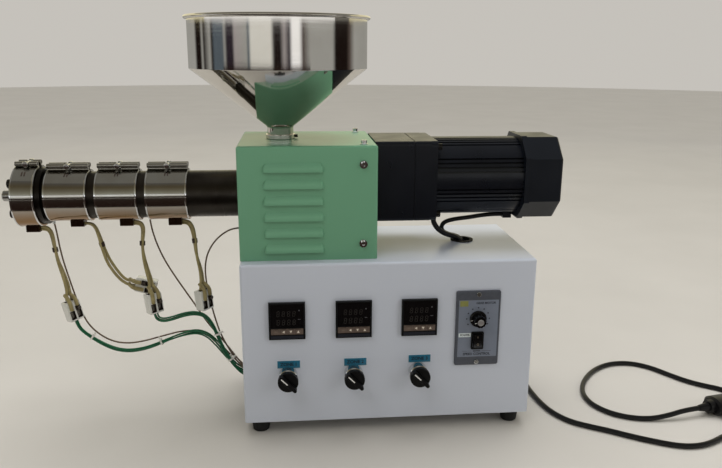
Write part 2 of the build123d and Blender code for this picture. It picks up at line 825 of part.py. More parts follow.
def cord_gland():
    """A gland through the back panel with a tapered sleeve that the cord comes out of."""
    neck_size = cord_dia + 2 * gland_wall
    flange_face = cabinet_back + gland_flange
    flange = rod_y(neck_size + 2 * gland_step, cabinet_back, flange_face, gland_x, gland_z)
    cone = Cone(neck_size / 2 + 0.5, cord_dia / 2 + 1.5, gland_sleeve)
    sleeve = Pos(gland_x, flange_face + gland_sleeve / 2, gland_z) * Rot(-90, 0, 0) * cone
    neck = rod_y(neck_size, cabinet_back - 3 * cabinet_sheet, cabinet_back, gland_x, gland_z)
    return flange + sleeve + neck


# Cords: each route is a list of points chosen by eye from the real lie of the wire
def tube(name, points, dia):
    """A round tube of straight runs and the largest tangent arcs that the runs allow."""
    corners = [Vector(*p) for p in points]
    radii = []
    for before, here, after in zip(corners, corners[1:], corners[2:]):
        turn = math.radians((here - before).get_angle(after - here))
        shorter = min((here - before).length, (after - here).length)
        radii.append(0.45 * shorter / math.tan(turn / 2))
    path = FilletPolyline(*points, radius=radii)
    start = Plane(origin=corners[0], z_dir=(corners[1] - corners[0]))
    solid = sweep(start * Circle(dia / 2), path=path)
    ratio = solid.volume / (math.pi * dia**2 / 4 * path.length)
    tightest = min(radii)
    radius = f"{tightest:.1f} = {tightest / dia:.1f} dia"
    print(f"{name}: length {path.length:.0f}, least radius {radius}, volume {ratio:.3f}")
    return solid


heater_routes = (
    (
        (-319.9, 5.5, 262), (-312.9, 5.5, 262), (-308.3, 4.5, 256.5), (-306.1, 3, 248),
        (-304.6, 1.5, 236), (-301.6, 0, 217), (-295.6, -1.5, 198), (-291.6, -2, 179),
        (-291.6, -2, 163.3),
    ),
    (
        (-263, 5.5, 267.5), (-256, 5.5, 267.5), (-250.6, 6, 261.5), (-247.6, 6.8, 250.5),
        (-244.1, 7.8, 233), (-239.1, 9.3, 214), (-231.1, 10.6, 198.5), (-222.6, 11, 186.5),
        (-213.4, 11, 181), (-205.9, 11, 181),
    ),
    (
        (-200, 5.5, 267.5), (-192.5, 5.5, 267.5), (-188.9, 4.6, 260.6), (-189.3, 3, 251.5),
        (-190.9, 1, 240), (-189.6, -2.5, 222), (-185.1, -7.5, 204), (-180.1, -12, 188),
        (-180.1, -12, 174.4),
    ),
    (
        (-137, 5.5, 267.5), (-130.5, 5.5, 267.5), (-125.6, 5, 262), (-122.9, 3.8, 252),
        (-121.4, 1.5, 239), (-119.7, -2.2, 221), (-114.6, -6.5, 203), (-113.6, -8, 189),
        (-113.6, -8, 175.9),
    ),
)
# Each block's upper end, its lean about Y and its turn about its own length
block_places = (
    ((-291.6, -2, 162.5), -13, 45), ((-205.1, 11, 181), -75, 0), ((-180.1, -12, 174), -6, 40),
    ((-113.6, -8, 175.5), -5, 50),
)


def ceramic_block(place, lean, turn):
    """A glazed two-way terminal block with a rounded waist and two screw pits."""
    width, depth, height = block_size
    body = Box(width, depth, height, align=(Align.CENTER, Align.CENTER, Align.MAX))
    body = fillet(list(body.edges().filter_by(Axis.Y)), 2.5)
    for side in (-1, 1):
        pit = Rot(90, 0, 0) * Cylinder(block_screw_pit / 2, 6)
        body = body - Pos(side * width / 4, -depth / 2, -height / 2) * pit
    return Pos(*place) * Rot(0, lean, 0) * Rot(0, 0, turn) * body


long_bundle_route = (
    (-285.3, -2, 135.2), (-283.3, -2, 126.5), (-277.6, -1.7, 117.5), (-265.1, -0.7, 106.5),
    (-250.1, 0.3, 95.5), (-233.1, 1, 87.5), (-213.1, 1, 85.5), (-189.1, 0, 91), (-165.1, -1, 101.5),
    (-143.1, -1, 109.5), (-125.1, -0.3, 112.5), (-110.1, 0.8, 106), (-98.1, 3, 91), (-85.1, 6, 70),
    (-71.1, 8.5, 52.5), (-54.1, 9.5, 43),
)
short_bundle_route = (
    (-177.2, -12, 146.1), (-176.6, -12, 140.2), (-172.6, -12.4, 135.8), (-164.6, -12.6, 134.6),
    (-153.1, -12, 137.3), (-139.1, -10.5, 141.4), (-125.1, -9.2, 142.8), (-112.6, -8.4, 139),
    (-103.1, -7.7, 126.5), (-96.6, -6.8, 108.5), (-90.1, -5.6, 89.5), (-81.6, -3.5, 71),
    (-72.6, -0.5, 56), (-63.6, 1.2, 45.5), (-54.1, 1.5, 41),
)
couple_routes = (
    (
        (-309.6, 24.9, 264), (-309.6, 29.1, 255), (-308.6, 30, 242), (-305.6, 26, 225),
        (-299.6, 19, 205), (-293.1, 14.5, 184), (-287.1, 12, 162), (-281.1, 11, 141), (-272.1, 9, 122),
        (-257.1, 7.5, 107), (-239.1, 7, 97), (-219.1, 6.5, 94.5), (-197.1, 5.5, 98),
        (-171.1, 4.5, 105.5), (-145.1, 4.5, 111.8), (-124.1, 5.5, 111), (-107.1, 7, 102),
        (-93.1, 9.3, 86), (-80.1, 11, 69), (-68.1, 10.5, 55.5), (-54.1, 7.5, 49.5),
    ),
    (
        (-183, 22.3, 269.7), (-183, 26.1, 261.5), (-181.6, 27.5, 250), (-176.6, 24.5, 233),
        (-167.1, 19, 212), (-154.1, 14, 190.5), (-140.1, 10.5, 169), (-126.1, 7.5, 147.5),
        (-114.1, 5.5, 127.5), (-102.6, 4.5, 111.5), (-90.6, 4.3, 96), (-79.1, 5.3, 78.5),
        (-67.6, 5.5, 61), (-54.1, 3, 50),
    ),
    (
        (-56.6, 8, 257), (-69.1, 8, 257), (-84.1, 8, 250), (-97.1, 8, 238), (-106.6, 7, 222),
        (-110.4, 5, 204), (-109.6, 3, 185), (-107.1, 2.7, 165), (-103.1, 1.7, 146), (-98.6, -0.8, 128),
        (-93.6, -2.4, 111), (-86.6, -1.6, 94), (-78.6, 0, 77), (-69.6, 1.2, 61), (-54.1, -1.5, 46.5),
    ),
)

motor_lead_route = (
    (199.9, -12, 275.2), (199.9, -12, 267.5), (203.4, -11, 260), (209.9, -8.5, 252.5),
    (218.4, -5, 247), (228.4, -0.5, 243), (237.9, 4, 239), (244.4, 5.5, 231), (245.9, 5, 220),
)
fan_lead_route = (
    (300.9, 8, 270.5), (287.9, 8, 270.5), (271.9, 8.2, 269.2), (253.9, 8.6, 266.2), (236.9, 9.4, 264.4),
    (220.9, 10.6, 260.5), (215.8, 11.3, 252.9), (219.1, 11.8, 245.5), (228.4, 12.3, 241.3),
    (236.9, 13, 239.5), (244.4, 13.5, 235.3), (248.4, 13.3, 228.3), (249.4, 14.2, 219),
)
mains_route = (
    (gland_x, cabinet_back + gland_flange + gland_sleeve, gland_z), (gland_x, 137, gland_z),
    (292.4, 158, 40.5), (311.9, 170, 27.5), (335.4, 165.5, 14.5), (352.4, 144, 4.2), (356.9, 109, 3.6),
    (357.9, 73, 3.6), (355.9, 38, 3.6), (354.9, 3, 3.6), (356.9, -34, 3.6), (363.9, -68, 3.6),
    (378.9, -95, 3.6), (398.9, -110, 3.6), (422.9, -124, 3.6), (444.9, -140, 3.6), (470.9, -156, 3.6),
    (498.9, -170, 3.6), (523.9, -171, 3.6), (546.9, -163, 3.6), (572.9, -148, 3.6), (606.9, -134, 3.6),
    (638.9, -114, 3.6), (658.9, -84, 3.6), (658.9, -50, 3.6), (642.9, -22, 3.6), (618.9, -6, 3.6),
    (600.9, 12, 3.6), (585.9, 36, 3.6), (570.9, 61, 3.6), (546.9, 79, 3.6), (514.9, 80, 3.6),
    (480.9, 62, 3.6), (448.9, 26, 3.6), (429.9, -12, 3.6), (427.9, -48, 3.6), (442.9, -77, 3.6),
    (465.9, -93, 3.6), (492.9, -99, 3.6), (518.9, -98, 7), (543.9, -94.5, 12), (566.9, -90, 12),
)


def plug():
    """A moulded three-pin plug with a tapered strain relief, its pins to the right."""
    tail = Vector(*mains_route[-2])
    nose = Vector(*mains_route[-1])
    heading = math.degrees(math.atan2(nose.Y - tail.Y, nose.X - tail.X))
    taper = Cone(cord_dia / 2 + 0.6, cord_dia / 2 + 3, plug_relief)
    relief = Pos(plug_relief / 2, 0, 0) * Rot(0, 90, 0) * taper
    neck = along_x(Ellipse(plug_width / 4, plug_height / 2.6), plug_relief, plug_neck)
    body = along_x(Ellipse(plug_width / 2, plug_height / 2), plug_relief + plug_neck, plug_length)
    body = chamfer(body.faces().sort_by(Axis.X)[0].edges(), 3)
    end = plug_relief + plug_neck + plug_length
    whole = relief + neck + body + block((end, end + blade_length + 3), (-0.8, 0.8), (-8, -2))
    for side in (-1, 1):
        across = side * blade_spacing / 2
        whole = whole + block((end, end + blade_length), (across - 3, across + 3), (1, 2.6))
    return Pos(nose.X, nose.Y, nose.Z) * Rot(0, 0, heading) * whole


save("cabinet_housing", cabinet_housing())
save("cabinet_base", cabinet_base())
save("cabinet_back_panel", cabinet_back_panel())
foot_rows = {"front": cabinet_front + foot_inset, "back": cabinet_back - foot_inset}
foot_columns = {"left": cabinet_left + foot_inset, "right": cabinet_right - foot_inset}
for row, y in foot_rows.items():
    for side, x in foot_columns.items():
        save(f"foot_{row}_{side}", foot(x, y))
for column in range(len(column_x)):
    save(f"temperature_controller_{column + 1}", controller(column))
    save(f"selector_switch_{column + 1}", switch_ring(column))
    save(f"selector_knob_{column + 1}", switch_knob(column))
save("speed_controller", speed_controller())
save("speed_controller_screws", *speed_screws())
save("speed_knob", speed_knob())
save("rocker_frame", rocker_frame())
save("power_rocker", power_rocker())
save("green_cover", green_cover())
save("feed_housing", feed_housing())
save("hopper", hopper())
save("barrel", barrel())
save("die_head", die_head())
save("nozzle", nozzle())
save("die_bolts", *die_bolts())
for index in range(band_count + 1):
    save(f"heater_band_{index + 1}", heater_band(index))
save("band_screws", *[band_screw(index) for index in range(band_count + 1)])
save("heater_terminals", *[terminal(index) for index in range(band_count + 1)])
barrel_probe_x = band_left(band_count) - band_gap / 2
save(
    "thermocouple_probes", thermocouple(die_back - die_probe_inset, die_dia),
    thermocouple(barrel_probe_x, barrel_dia),
)
save("gearbox", gearbox())
save("motor_flange", motor_flange())
save("motor_bolts", *motor_bolts())
save("motor_body", motor_body())
save("fan_cover", fan_cover())
save("cover_screws", *cover_screws())
save("cable_grommet", cable_grommet())
save("lead_grommet", lead_grommet())
save("cord_gland", cord_gland())
save("ceramic_blocks", *[ceramic_block(*place) for place in block_places])
for number, route in enumerate(heater_routes, 1):
    save(f"heater_lead_{number}", tube(f"heater_lead_{number}", route, lead_dia))
save("control_wires_long", tube("control_wires_long", long_bundle_route, bundle_dia))
save("control_wires_short", tube("control_wires_short", short_bundle_route, bundle_dia))
for number, route in enumerate(couple_routes, 1):
    save(f"thermocouple_wire_{number}", tube(f"thermocouple_wire_{number}", route, couple_dia))
save("motor_lead", tube("motor_lead", motor_lead_route, motor_lead_dia))
save("fan_lead", tube("fan_lead", fan_lead_route, fan_lead_dia))
save("mains_cord", tube("mains_cord", mains_route, cord_dia))
save("mains_plug", plug())
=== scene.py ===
import math

import bmesh
import bpy
from mathutils import Matrix, Vector


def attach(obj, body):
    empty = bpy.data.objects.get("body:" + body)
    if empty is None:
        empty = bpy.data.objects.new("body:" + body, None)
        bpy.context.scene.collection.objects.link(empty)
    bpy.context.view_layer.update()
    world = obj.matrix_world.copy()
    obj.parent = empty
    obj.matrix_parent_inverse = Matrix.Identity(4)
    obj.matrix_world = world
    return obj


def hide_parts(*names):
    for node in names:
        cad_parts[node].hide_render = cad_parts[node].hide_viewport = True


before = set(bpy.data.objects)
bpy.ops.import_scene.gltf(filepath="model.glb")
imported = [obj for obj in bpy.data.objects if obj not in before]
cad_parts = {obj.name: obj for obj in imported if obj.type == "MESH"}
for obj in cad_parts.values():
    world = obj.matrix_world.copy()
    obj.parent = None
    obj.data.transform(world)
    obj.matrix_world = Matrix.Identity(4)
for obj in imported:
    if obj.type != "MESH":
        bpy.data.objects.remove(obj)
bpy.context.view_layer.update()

MM = 0.001
FULL = 2 * math.pi
HALF = math.pi / 2

# Places that the looks share with the solids, in millimetres: the cabinet's front and back, the barrel's axis,
# the cover's top, the hopper's middle, the instruments' columns and rows, the speed controller and the gland
PANEL_Y, BACK_Y = -92.5, 95.5
AXIS_Y, AXIS_Z = 5.0, 305.7
COVER_TOP = 378.4
HOPPER_X = -3.8
COLUMNS = (0.9, 85.4, 169.9)
SWITCH_Z, CONTROLLER_Z = 84.6, 160.2
SPEED_X, SPEED_Z, SPEED_FACE = 246.4, 142.7, -95.5
DIAL_Z, ROCKER_Z = SPEED_Z + 13.5, SPEED_Z - 16.2
GLAND_X, GLAND_Z = 283.4, 47


def mm(x, y, z):
    return Vector((x, y, z)) * MM


# The camera, solved from the photograph's straight edges, in degrees, millimetres and pixels
YAW, PITCH, ROLL = (math.radians(a) for a in (5.30, 14.48, -0.28))
CAMERA_AT = (14.9, -957.1, 495.5)
FRAME_WIDE, FOCAL, SENSOR = 722, 724.6, 36
OFF_CENTRE = (-0.6, -0.1)


def make_camera():
    forward = Vector((math.sin(YAW) * math.cos(PITCH), math.cos(YAW) * math.cos(PITCH), -math.sin(PITCH)))
    level = Vector((math.cos(YAW), -math.sin(YAW), 0))
    down = forward.cross(level)
    right = math.cos(ROLL) * level + math.sin(ROLL) * down
    below = math.cos(ROLL) * down - math.sin(ROLL) * level
    data = bpy.data.cameras.new("camera")
    data.sensor_width = SENSOR
    data.lens = FOCAL * SENSOR / FRAME_WIDE
    data.shift_x, data.shift_y = (off / FRAME_WIDE for off in OFF_CENTRE)
    data.clip_start, data.clip_end = 0.05, 60
    camera = bpy.data.objects.new("camera", data)
    turn = Matrix((right, -below, -forward)).transposed().to_4x4()
    camera.matrix_world = Matrix.Translation(mm(*CAMERA_AT)) @ turn
    bpy.context.scene.collection.objects.link(camera)
    bpy.context.scene.camera = camera


make_camera()


# Small tools for materials
NOISE_SPREAD = {"From Min": 0.3, "From Max": 0.7}  # between these lie nearly all of a noise's values
NOISE_ROUGH = 0.55


def linear(code):
    """An sRGB hex value as the linear colour that the shader wants."""
    parts = [int(code[i:i + 2], 16) / 255 for i in (1, 3, 5)]
    return (*[p / 12.92 if p <= 0.04045 else ((p + 0.055) / 1.055) ** 2.4 for p in parts], 1)


def feed(tree, node, inputs):
    """Give a node's inputs their values, or link them to another node or to one of its outputs."""
    for name, value in inputs.items():
        if isinstance(value, bpy.types.Node):
            value = value.outputs[0]
        if isinstance(value, bpy.types.NodeSocket):
            tree.links.new(value, node.inputs[name])
        else:
            node.inputs[name].default_value = value


def add(tree, kind, inputs=None, **settings):
    """One node with its settings and its inputs fed."""
    node = tree.nodes.new(kind)
    for name, value in settings.items():
        setattr(node, name, value)
    feed(tree, node, inputs or {})
    return node


def start(name, colour, gloss, metallic=0.0, **sockets):
    """A new material, its plain values on the shader itself; also its tree, shader and Object coordinates."""
    material = bpy.data.materials.new(name)
    material.use_nodes = True
    tree = material.node_tree
    shader = tree.nodes["Principled BSDF"]
    feed(tree, shader, {"Base Color": linear(colour), "Roughness": gloss, "Metallic": metallic})
    feed(tree, shader, {key.replace("_", " "): value for key, value in sockets.items()})
    return material, tree, shader, add(tree, "ShaderNodeTexCoord").outputs["Object"]


def surface(name, colour, gloss, tone=None, shine=None, relief=None, **sockets):
    """A finish whose colour, gloss and relief each follow a noise of a real size.

    Each of the three begins with its noise's size in millimetres and its detail. Then tone has the other
    colour, shine how far the roughness goes below and above gloss, and relief its depth in millimetres and
    its strength.
    """
    material, tree, shader, coords = start(name, colour, gloss, **sockets)
    clouds, glints, bumps = (
        job and add(tree, "ShaderNodeTexNoise", {
            "Vector": coords, "Scale": 1 / (job[0] * MM), "Detail": job[1], "Roughness": NOISE_ROUGH})
        for job in (tone, shine, relief))
    if tone:
        share = add(tree, "ShaderNodeMapRange", {"Value": clouds, **NOISE_SPREAD})
        mixed = add(tree, "ShaderNodeMix", {0: share, 6: linear(colour), 7: linear(tone[2])}, data_type="RGBA")
        feed(tree, shader, {"Base Color": mixed.outputs[2]})
    if shine:
        feed(tree, shader, {"Roughness": add(tree, "ShaderNodeMapRange", {
            "Value": glints, **NOISE_SPREAD, "To Min": gloss - shine[2], "To Max": gloss + shine[3]})})
    if relief:
        feed(tree, shader, {"Normal": add(tree, "ShaderNodeBump", {
            "Height": bumps, "Distance": relief[2] * MM, "Strength": relief[3]})})
    return material


def powder_coat(name, colour, shade, gloss):
    """Polyester powder coat on sheet steel: half gloss with faint orange peel of about 1.5 mm."""
    return surface(
        name, colour, gloss, (260, 1, shade), (90, 1, 0.015, 0.02), (1.6, 1, 0.012, 0.5),
        Coat_Weight=0.2, Coat_Roughness=0.2)


def enamel(name, colour, lighter, gloss, peel=0.015):
    """Stoved enamel: dark, half gloss, with the faint texture of the metal under it."""
    return surface(
        name, colour, gloss, (40, 1, lighter), (25, 1, 0.03, 0.04), (1.1, 2, peel, 0.5),
        Specular_IOR_Level=0.35)


def moulded(name, colour, gloss, spark=0.5, depth=0.02, shine=0.3):
    """Moulded plastic or rubber: one colour all through, with the mould's fine spark texture."""
    return surface(
        name, colour, gloss, None, (12, 3, 0.05, 0.07), (spark, 1, depth, 0.4), Specular_IOR_Level=shine)


def wire_pvc(name, colour, darker, gloss=0.32):
    """Thin extruded insulation: even colour, half gloss, with faint unevenness along the wire."""
    return surface(name, colour, gloss, (6, 3, darker), (3, 3, 0.05, 0.1))


def film(name, colour, darker, gloss, blot=6.0):
    """Printed film or lacquer: thin even colour with a slightly uneven gloss."""
    return surface(name, colour, gloss, (blot, 3, darker), (3, 3, 0.04, 0.06))


def glass_sleeve(name, colour, darker):
    """Woven glass sleeving, dull with a soft sheen; its 0.3 mm plait is drawn at 0.9 mm, so that it shows."""
    material = surface(name, colour, 0.8, (9, 3, darker), Sheen_Weight=0.25)
    tree = material.node_tree
    coords = add(tree, "ShaderNodeTexCoord").outputs["Object"]
    plait = add(tree, "ShaderNodeTexVoronoi", {"Vector": coords, "Scale": 1 / (0.9 * MM)})
    bump = add(tree, "ShaderNodeBump", {"Height": plait, "Distance": 0.25 * MM, "Strength": 0.6})
    feed(tree, tree.nodes["Principled BSDF"], {"Normal": bump})
    return material


def porcelain(name, colour, speck):
    """Steatite under a clear glaze: cream white, glassy, with a few grey specks where its noise is highest."""
    material, tree, shader, coords = start(name, colour, 0.16, Coat_Weight=0.6, Coat_Roughness=0.05)
    noise = add(tree, "ShaderNodeTexNoise", {
        "Vector": coords, "Scale": 1 / (1.4 * MM), "Detail": 2, "Roughness": NOISE_ROUGH})
    share = add(tree, "ShaderNodeMapRange", {"Value": noise, "From Min": 0.66, "From Max": 0.72})
    mixed = add(tree, "ShaderNodeMix", {0: share, 6: linear(colour), 7: linear(speck)}, data_type="RGBA")
    feed(tree, shader, {"Base Color": mixed.outputs[2]})
    return material


def lined_metal(name, colour, tint, gloss, axis, line, depth, spread, tint_below=None):
    """Turned, rolled or polished metal: fine lines across one axis change its gloss, over soft larger clouds.

    line is their width and depth their relief in millimetres, and spread how far the roughness goes from gloss.
    The last argument makes the colour browner towards the bottom, partly heat tint and partly a painted
    reflection of tan ground below: the heights in millimetres where it begins and is full, and its colour.
    """
    material, tree, shader, coords = start(name, colour, gloss, 1.0)
    scale = [0.02, 0.02, 0.02]
    scale[axis] = 1.0
    drawn = add(tree, "ShaderNodeMapping", {"Vector": coords, "Scale": scale})
    lines, clouds = (
        add(tree, "ShaderNodeTexNoise", {
            "Vector": spot, "Scale": 1 / (size * MM), "Detail": detail, "Roughness": rough})
        for spot, size, detail, rough in ((drawn, line, 4, 0.7), (coords, 45, 2, NOISE_ROUGH)))
    share = add(tree, "ShaderNodeMapRange", {"Value": clouds, **NOISE_SPREAD})
    mixed = add(tree, "ShaderNodeMix", {0: share, 6: linear(colour), 7: linear(tint)}, data_type="RGBA")
    # A browner colour towards the bottom: partly heat tint, partly a painted reflection of tan ground below
    if tint_below:
        begin, full, brown = tint_below
        height = add(tree, "ShaderNodeSeparateXYZ", {"Vector": coords}).outputs["Z"]
        uneven = add(tree, "ShaderNodeMath", {0: clouds, 1: 16 * MM, 2: height}, operation="MULTIPLY_ADD")
        share = add(tree, "ShaderNodeMapRange", {
            "Value": uneven, "From Min": begin * MM, "From Max": full * MM})
        mixed = add(tree, "ShaderNodeMix", {
            0: share, 6: mixed.outputs[2], 7: linear(brown)}, data_type="RGBA")
    glint = add(tree, "ShaderNodeMapRange", {
        "Value": lines, **NOISE_SPREAD, "To Min": max(gloss - spread, 0.02), "To Max": gloss + spread})
    relief = add(tree, "ShaderNodeBump", {"Height": lines, "Distance": depth * MM, "Strength": 0.35})
    feed(tree, shader, {"Base Color": mixed.outputs[2], "Roughness": glint, "Normal": relief})
    return material


# Powder coat on folded sheet: the cabinet a cool white, the cover sea green
WHITE_COAT = powder_coat("white_powder_coat", "#CFD5E2", "#CCD2DF", 0.32)
GREEN_COAT = powder_coat("green_powder_coat", "#6FA886", "#6CA583", 0.34)
# Spun and polished stainless: a mirror with hair-fine rings left by the spinning
SPUN_STEEL = lined_metal("polished_spun_stainless", "#D3D0CB", "#CBC7C1", 0.06, 2, 2.2, 0.0015, 0.025)
# Bright rolled stainless, browner towards the bottom: partly heat tint from the heaters under it, partly a
# painted reflection of tan ground below
BAND_STEEL = lined_metal(
    "rolled_stainless_heat_tint_and_painted_reflection", "#B2B2AF", "#A6A39D", 0.12, 0, 1.5, 0.003, 0.035, (308, 286, "#8A6B47"))
# The heaters' terminals: steel gone dull brown with heat
BROWNED = lined_metal("heat_browned_steel", "#4E3A2E", "#3A2A22", 0.3, 0, 0.9, 0.006, 0.07)
# Blackened steel with turning rings that catch the light, on the barrel, and smoother on the die
BARREL_STEEL = lined_metal("blackened_turned_steel", "#4A4642", "#37332F", 0.36, 0, 1.2, 0.02, 0.1)
DIE_STEEL = lined_metal("black_oxide_steel", "#3A3836", "#2B2927", 0.32, 0, 0.9, 0.01, 0.08)
# Milled steel: plain grey with fine cutter lines
MACHINED = lined_metal("milled_steel", "#A9A9A8", "#9E9D9B", 0.3, 0, 0.8, 0.01, 0.08)
# Bright zinc plating on screws, pins and probes: pale and soft, short of a mirror
ZINC = lined_metal("bright_zinc_plating", "#C9CBCC", "#B5B8B8", 0.22, 2, 0.5, 0.003, 0.06)
# Chrome on the switches' collars and some screws: a clear mirror; on the bands' beads the same bright chrome is
# a painted highlight
CHROME = lined_metal("chrome_plating", "#DADBDC", "#D2D3D5", 0.06, 1, 0.6, 0.0008, 0.02)
# Black oxide on socket and set screws: a soft dark gleam
BLACK_SCREW = lined_metal("black_oxide_screw", "#3C3B3A", "#2E2D2C", 0.34, 2, 0.5, 0.004, 0.08)
# Clamps in the terminal blocks: plated steel gone dull
CLAMP = lined_metal("dulled_steel_clamp", "#7F7A72", "#5F5A52", 0.34, 2, 0.5, 0.006, 0.08)
# Spun aluminium cap on the speed knob: satin silver
SILVER_CAP = lined_metal("spun_aluminium_cap", "#E2E2E3", "#D6D6D8", 0.38, 1, 0.5, 0.003, 0.05)
# Stoved enamel, near black with a little blue: on the motor's castings, and smoother on the pressed fan cover
MOTOR_ENAMEL = enamel("black_stoved_enamel", "#0C1018", "#0F131C", 0.3)
FAN_ENAMEL = enamel("black_enamel_on_pressed_sheet", "#0E131B", "#121720", 0.34, 0.008)
# Dark brown: tarnished steel on the crimps, and painted shade in the blocks' wells and mouths, across a
# backed-out screw's end and in the bands' pressed slots
TARNISH_AND_SHADE = enamel("brown_tarnish_and_painted_shade", "#2A1E19", "#3A2B24", 0.42)
# Moulded plastics and rubber: matt cases and grips, polished knobs, dull feet, smooth sheaths, white ties
ABS_BLACK = moulded("black_abs_fine_spark", "#0C0C0E", 0.45, 0.5, 0.012, 0.2)
KNOB_BLACK = moulded("black_phenolic_matt", "#08080A", 0.45, 0.6, 0.012, 0.2)
GLOSS_BLACK = moulded("black_abs_polished", "#08080A", 0.2, 2.0, 0.004, 0.4)
RUBBER = moulded("moulded_black_rubber", "#19191B", 0.7, 0.8, 0.05)
PVC_BLACK = moulded("black_pvc_sheath", "#121214", 0.34, 1.6, 0.03)
NYLON_WHITE = moulded("white_nylon", "#E4E2DA", 0.4, 0.8, 0.02, 0.5)
# Glazed steatite blocks, woven glass sleeves gone khaki with heat, and the wires' insulation
PORCELAIN = porcelain("glazed_steatite", "#DADAD4", "#B2ACA0")
GLASS_SLEEVE = glass_sleeve("khaki_glass_sleeving", "#A89A6A", "#86794E")
GREY_SLEEVE = glass_sleeve("grey_glass_sleeving", "#B5B1A6", "#8D897F")
GREEN_WIRE = wire_pvc("green_pvc_insulation", "#0B6A44", "#085536")
COUPLE_WIRE = wire_pvc("brown_fibreglass_couple_wire", "#75624E", "#5A4A3B", 0.6)
# The temperature controllers' faces: glossy smoked window over unlit figures, satin brown key film and prints
SMOKED = film("smoked_acrylic_window", "#09090B", "#0D0C0E", 0.1, 30)
UNLIT = film("unlit_display_segments", "#2B2827", "#242120", 0.3)
INDICATOR = film("grey_indicator_lens", "#56565A", "#4C4C50", 0.3)
KEY_DIM = film("faint_key_print", "#7E7264", "#74685A", 0.5)
KEY_FILM = film("brown_key_film", "#6F5E54", "#62534A", 0.42)
KEY_MARKS = film("pale_key_print", "#E8DFD0", "#D6CCBC", 0.5)
SLATE_FILM = film("slate_film", "#1E222E", "#191D28", 0.35)
# The zone labels: blue laminate over its white core; and the white lines pressed into the knobs
LABEL_BLUE = film("blue_engraving_laminate", "#0F6E8F", "#0D6583", 0.35, 12)
LABEL_CORE = film("white_laminate_core", "#DDE6E8", "#D3DDE0", 0.5)
WHITE_LACQUER = film("white_lacquer", "#E8E8E6", "#DCDCDA", 0.45)
# The speed controller: anodised plate, satin blue-grey print, a bare tag, and dark lettering
PLATE_GREY = film("grey_anodised_aluminium", "#4F535D", "#484C56", 0.42)
FACE_GREY = film("blue_grey_silk_screen", "#7B8393", "#757D8D", 0.4, 20)
TAG_YELLOW = film("yellow_green_tag", "#8E8F4C", "#838446", 0.5)
DARK_PRINT = film("dark_blue_print", "#1B2230", "#171D29", 0.4)


# Small tools for shapes
def put(name, data):
    """An object with its data, in the scene."""
    made = bpy.data.objects.new(name, data)
    bpy.context.scene.collection.objects.link(made)
    return made


def shape(name, bm, materials):
    """A bmesh made an object."""
    mesh = bpy.data.meshes.new(name)
    bm.to_mesh(mesh)
    bm.free()
    for one in materials:
        mesh.materials.append(one)
    return put(name, mesh)


def belong(made, body="machine", replaces=()):
    """The body that a piece rides on and the nodes it stands for."""
    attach(made, body)
    if replaces:
        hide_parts(*replaces)


def piece(name, bm, materials, body="machine", replaces=(), sharp=32, outward=False):
    """A finished piece; outward turns its faces out, and edges over the sharp angle stay crisp."""
    if outward:
        bmesh.ops.recalc_face_normals(bm, faces=bm.faces[:])
    bmesh.ops.remove_doubles(bm, verts=bm.verts, dist=1e-6)
    made = shape(name, bm, materials)
    made.data.shade_smooth()
    made.data.set_sharp_from_angle(angle=math.radians(sharp))
    belong(made, body, replaces)
    return made


def as_mesh(curve):
    """The mesh of a curve or text, which is removed."""
    mesh = bpy.data.meshes.new_from_object(curve)
    data = curve.data
    bpy.data.objects.remove(curve)
    bpy.data.curves.remove(data)
    return mesh


def verts_of(geom):
    return [g for g in geom if isinstance(g, bmesh.types.BMVert)]


def towards(direction):
    """The turn that takes +Z to a direction."""
    return Vector(direction).to_track_quat("Z", "Y").to_matrix().to_4x4()


def stand(base, direction):
    """The move that stands a shape drawn on the origin on a base in millimetres, its +Z along a direction."""
    return Matrix.Translation(Vector(base) * MM) @ towards(direction)


def move_fresh(bm, before, matrix):
    """Move what was drawn since the vertices of before."""
    bmesh.ops.transform(bm, matrix=matrix, verts=[v for v in bm.verts if v not in before])


def rounded(bm, edges, width, segments=2):
    """A round bevel of width millimetres along edges."""
    bmesh.ops.bevel(
        bm, geom=list(edges), offset=width * MM, offset_type="OFFSET", segments=segments, profile=0.5,
        affect="EDGES", material=-1, clamp_overlap=True)


def brick(bm, low, high, soft=0.0, index=0):
    """A box between two corners in millimetres, its edges softened."""
    low, high = Vector(low), Vector(high)
    matrix = Matrix.Translation((low + high) / 2 * MM) @ Matrix.Diagonal((*((high - low) * MM), 1))
    made = bmesh.ops.create_cube(bm, size=1, matrix=matrix)["verts"]
    for f in {f for v in made for f in v.link_faces}:
        f.material_index = index
    if soft:
        rounded(bm, {e for v in made for e in v.link_edges}, soft)


def peg(bm, base, direction, radius, length, soft=0.0, steps=32, index=0):
    """A round peg from base along direction, its far rim softened."""
    matrix = stand(base, direction) @ Matrix.Translation((0, 0, length / 2 * MM))
    made = bmesh.ops.create_cone(
        bm, cap_ends=True, segments=steps, radius1=radius * MM, radius2=radius * MM, depth=length * MM,
        matrix=matrix)["verts"]
    for f in {f for v in made for f in v.link_faces}:
        f.material_index = index
    if soft:
        normal = Vector(direction).normalized()
        end = Vector(base) * MM + normal * length * MM
        edges = {e for v in made for e in v.link_edges}
        rounded(bm, [e for e in edges if all(abs((w.co - end).dot(normal)) < 1e-6 for w in e.verts)], soft)


def lathe(bm, profile, centre, axis, steps=96, angle=FULL, first=0.0, closed=False, index=0):
    """A profile of (radius, height along the axis) pairs in millimetres spun round the axis."""
    base = stand(centre, axis) @ Matrix.Rotation(first, 4, "Z")
    verts = [bm.verts.new(base @ mm(r, 0, h)) for r, h in profile]
    edges = [bm.edges.new(pair) for pair in zip(verts, verts[1:])]
    if closed:
        edges.append(bm.edges.new((verts[-1], verts[0])))
    before = set(bm.faces)
    bmesh.ops.spin(
        bm, geom=verts + edges, cent=Vector(centre) * MM, axis=Vector(axis).normalized(), dvec=(0, 0, 0),
        angle=angle, steps=steps, use_merge=angle == FULL, use_duplicate=False)
    made = [f for f in bm.faces if f not in before]
    if closed:
        bmesh.ops.recalc_face_normals(bm, faces=made)
    for f in made:
        f.material_index = index


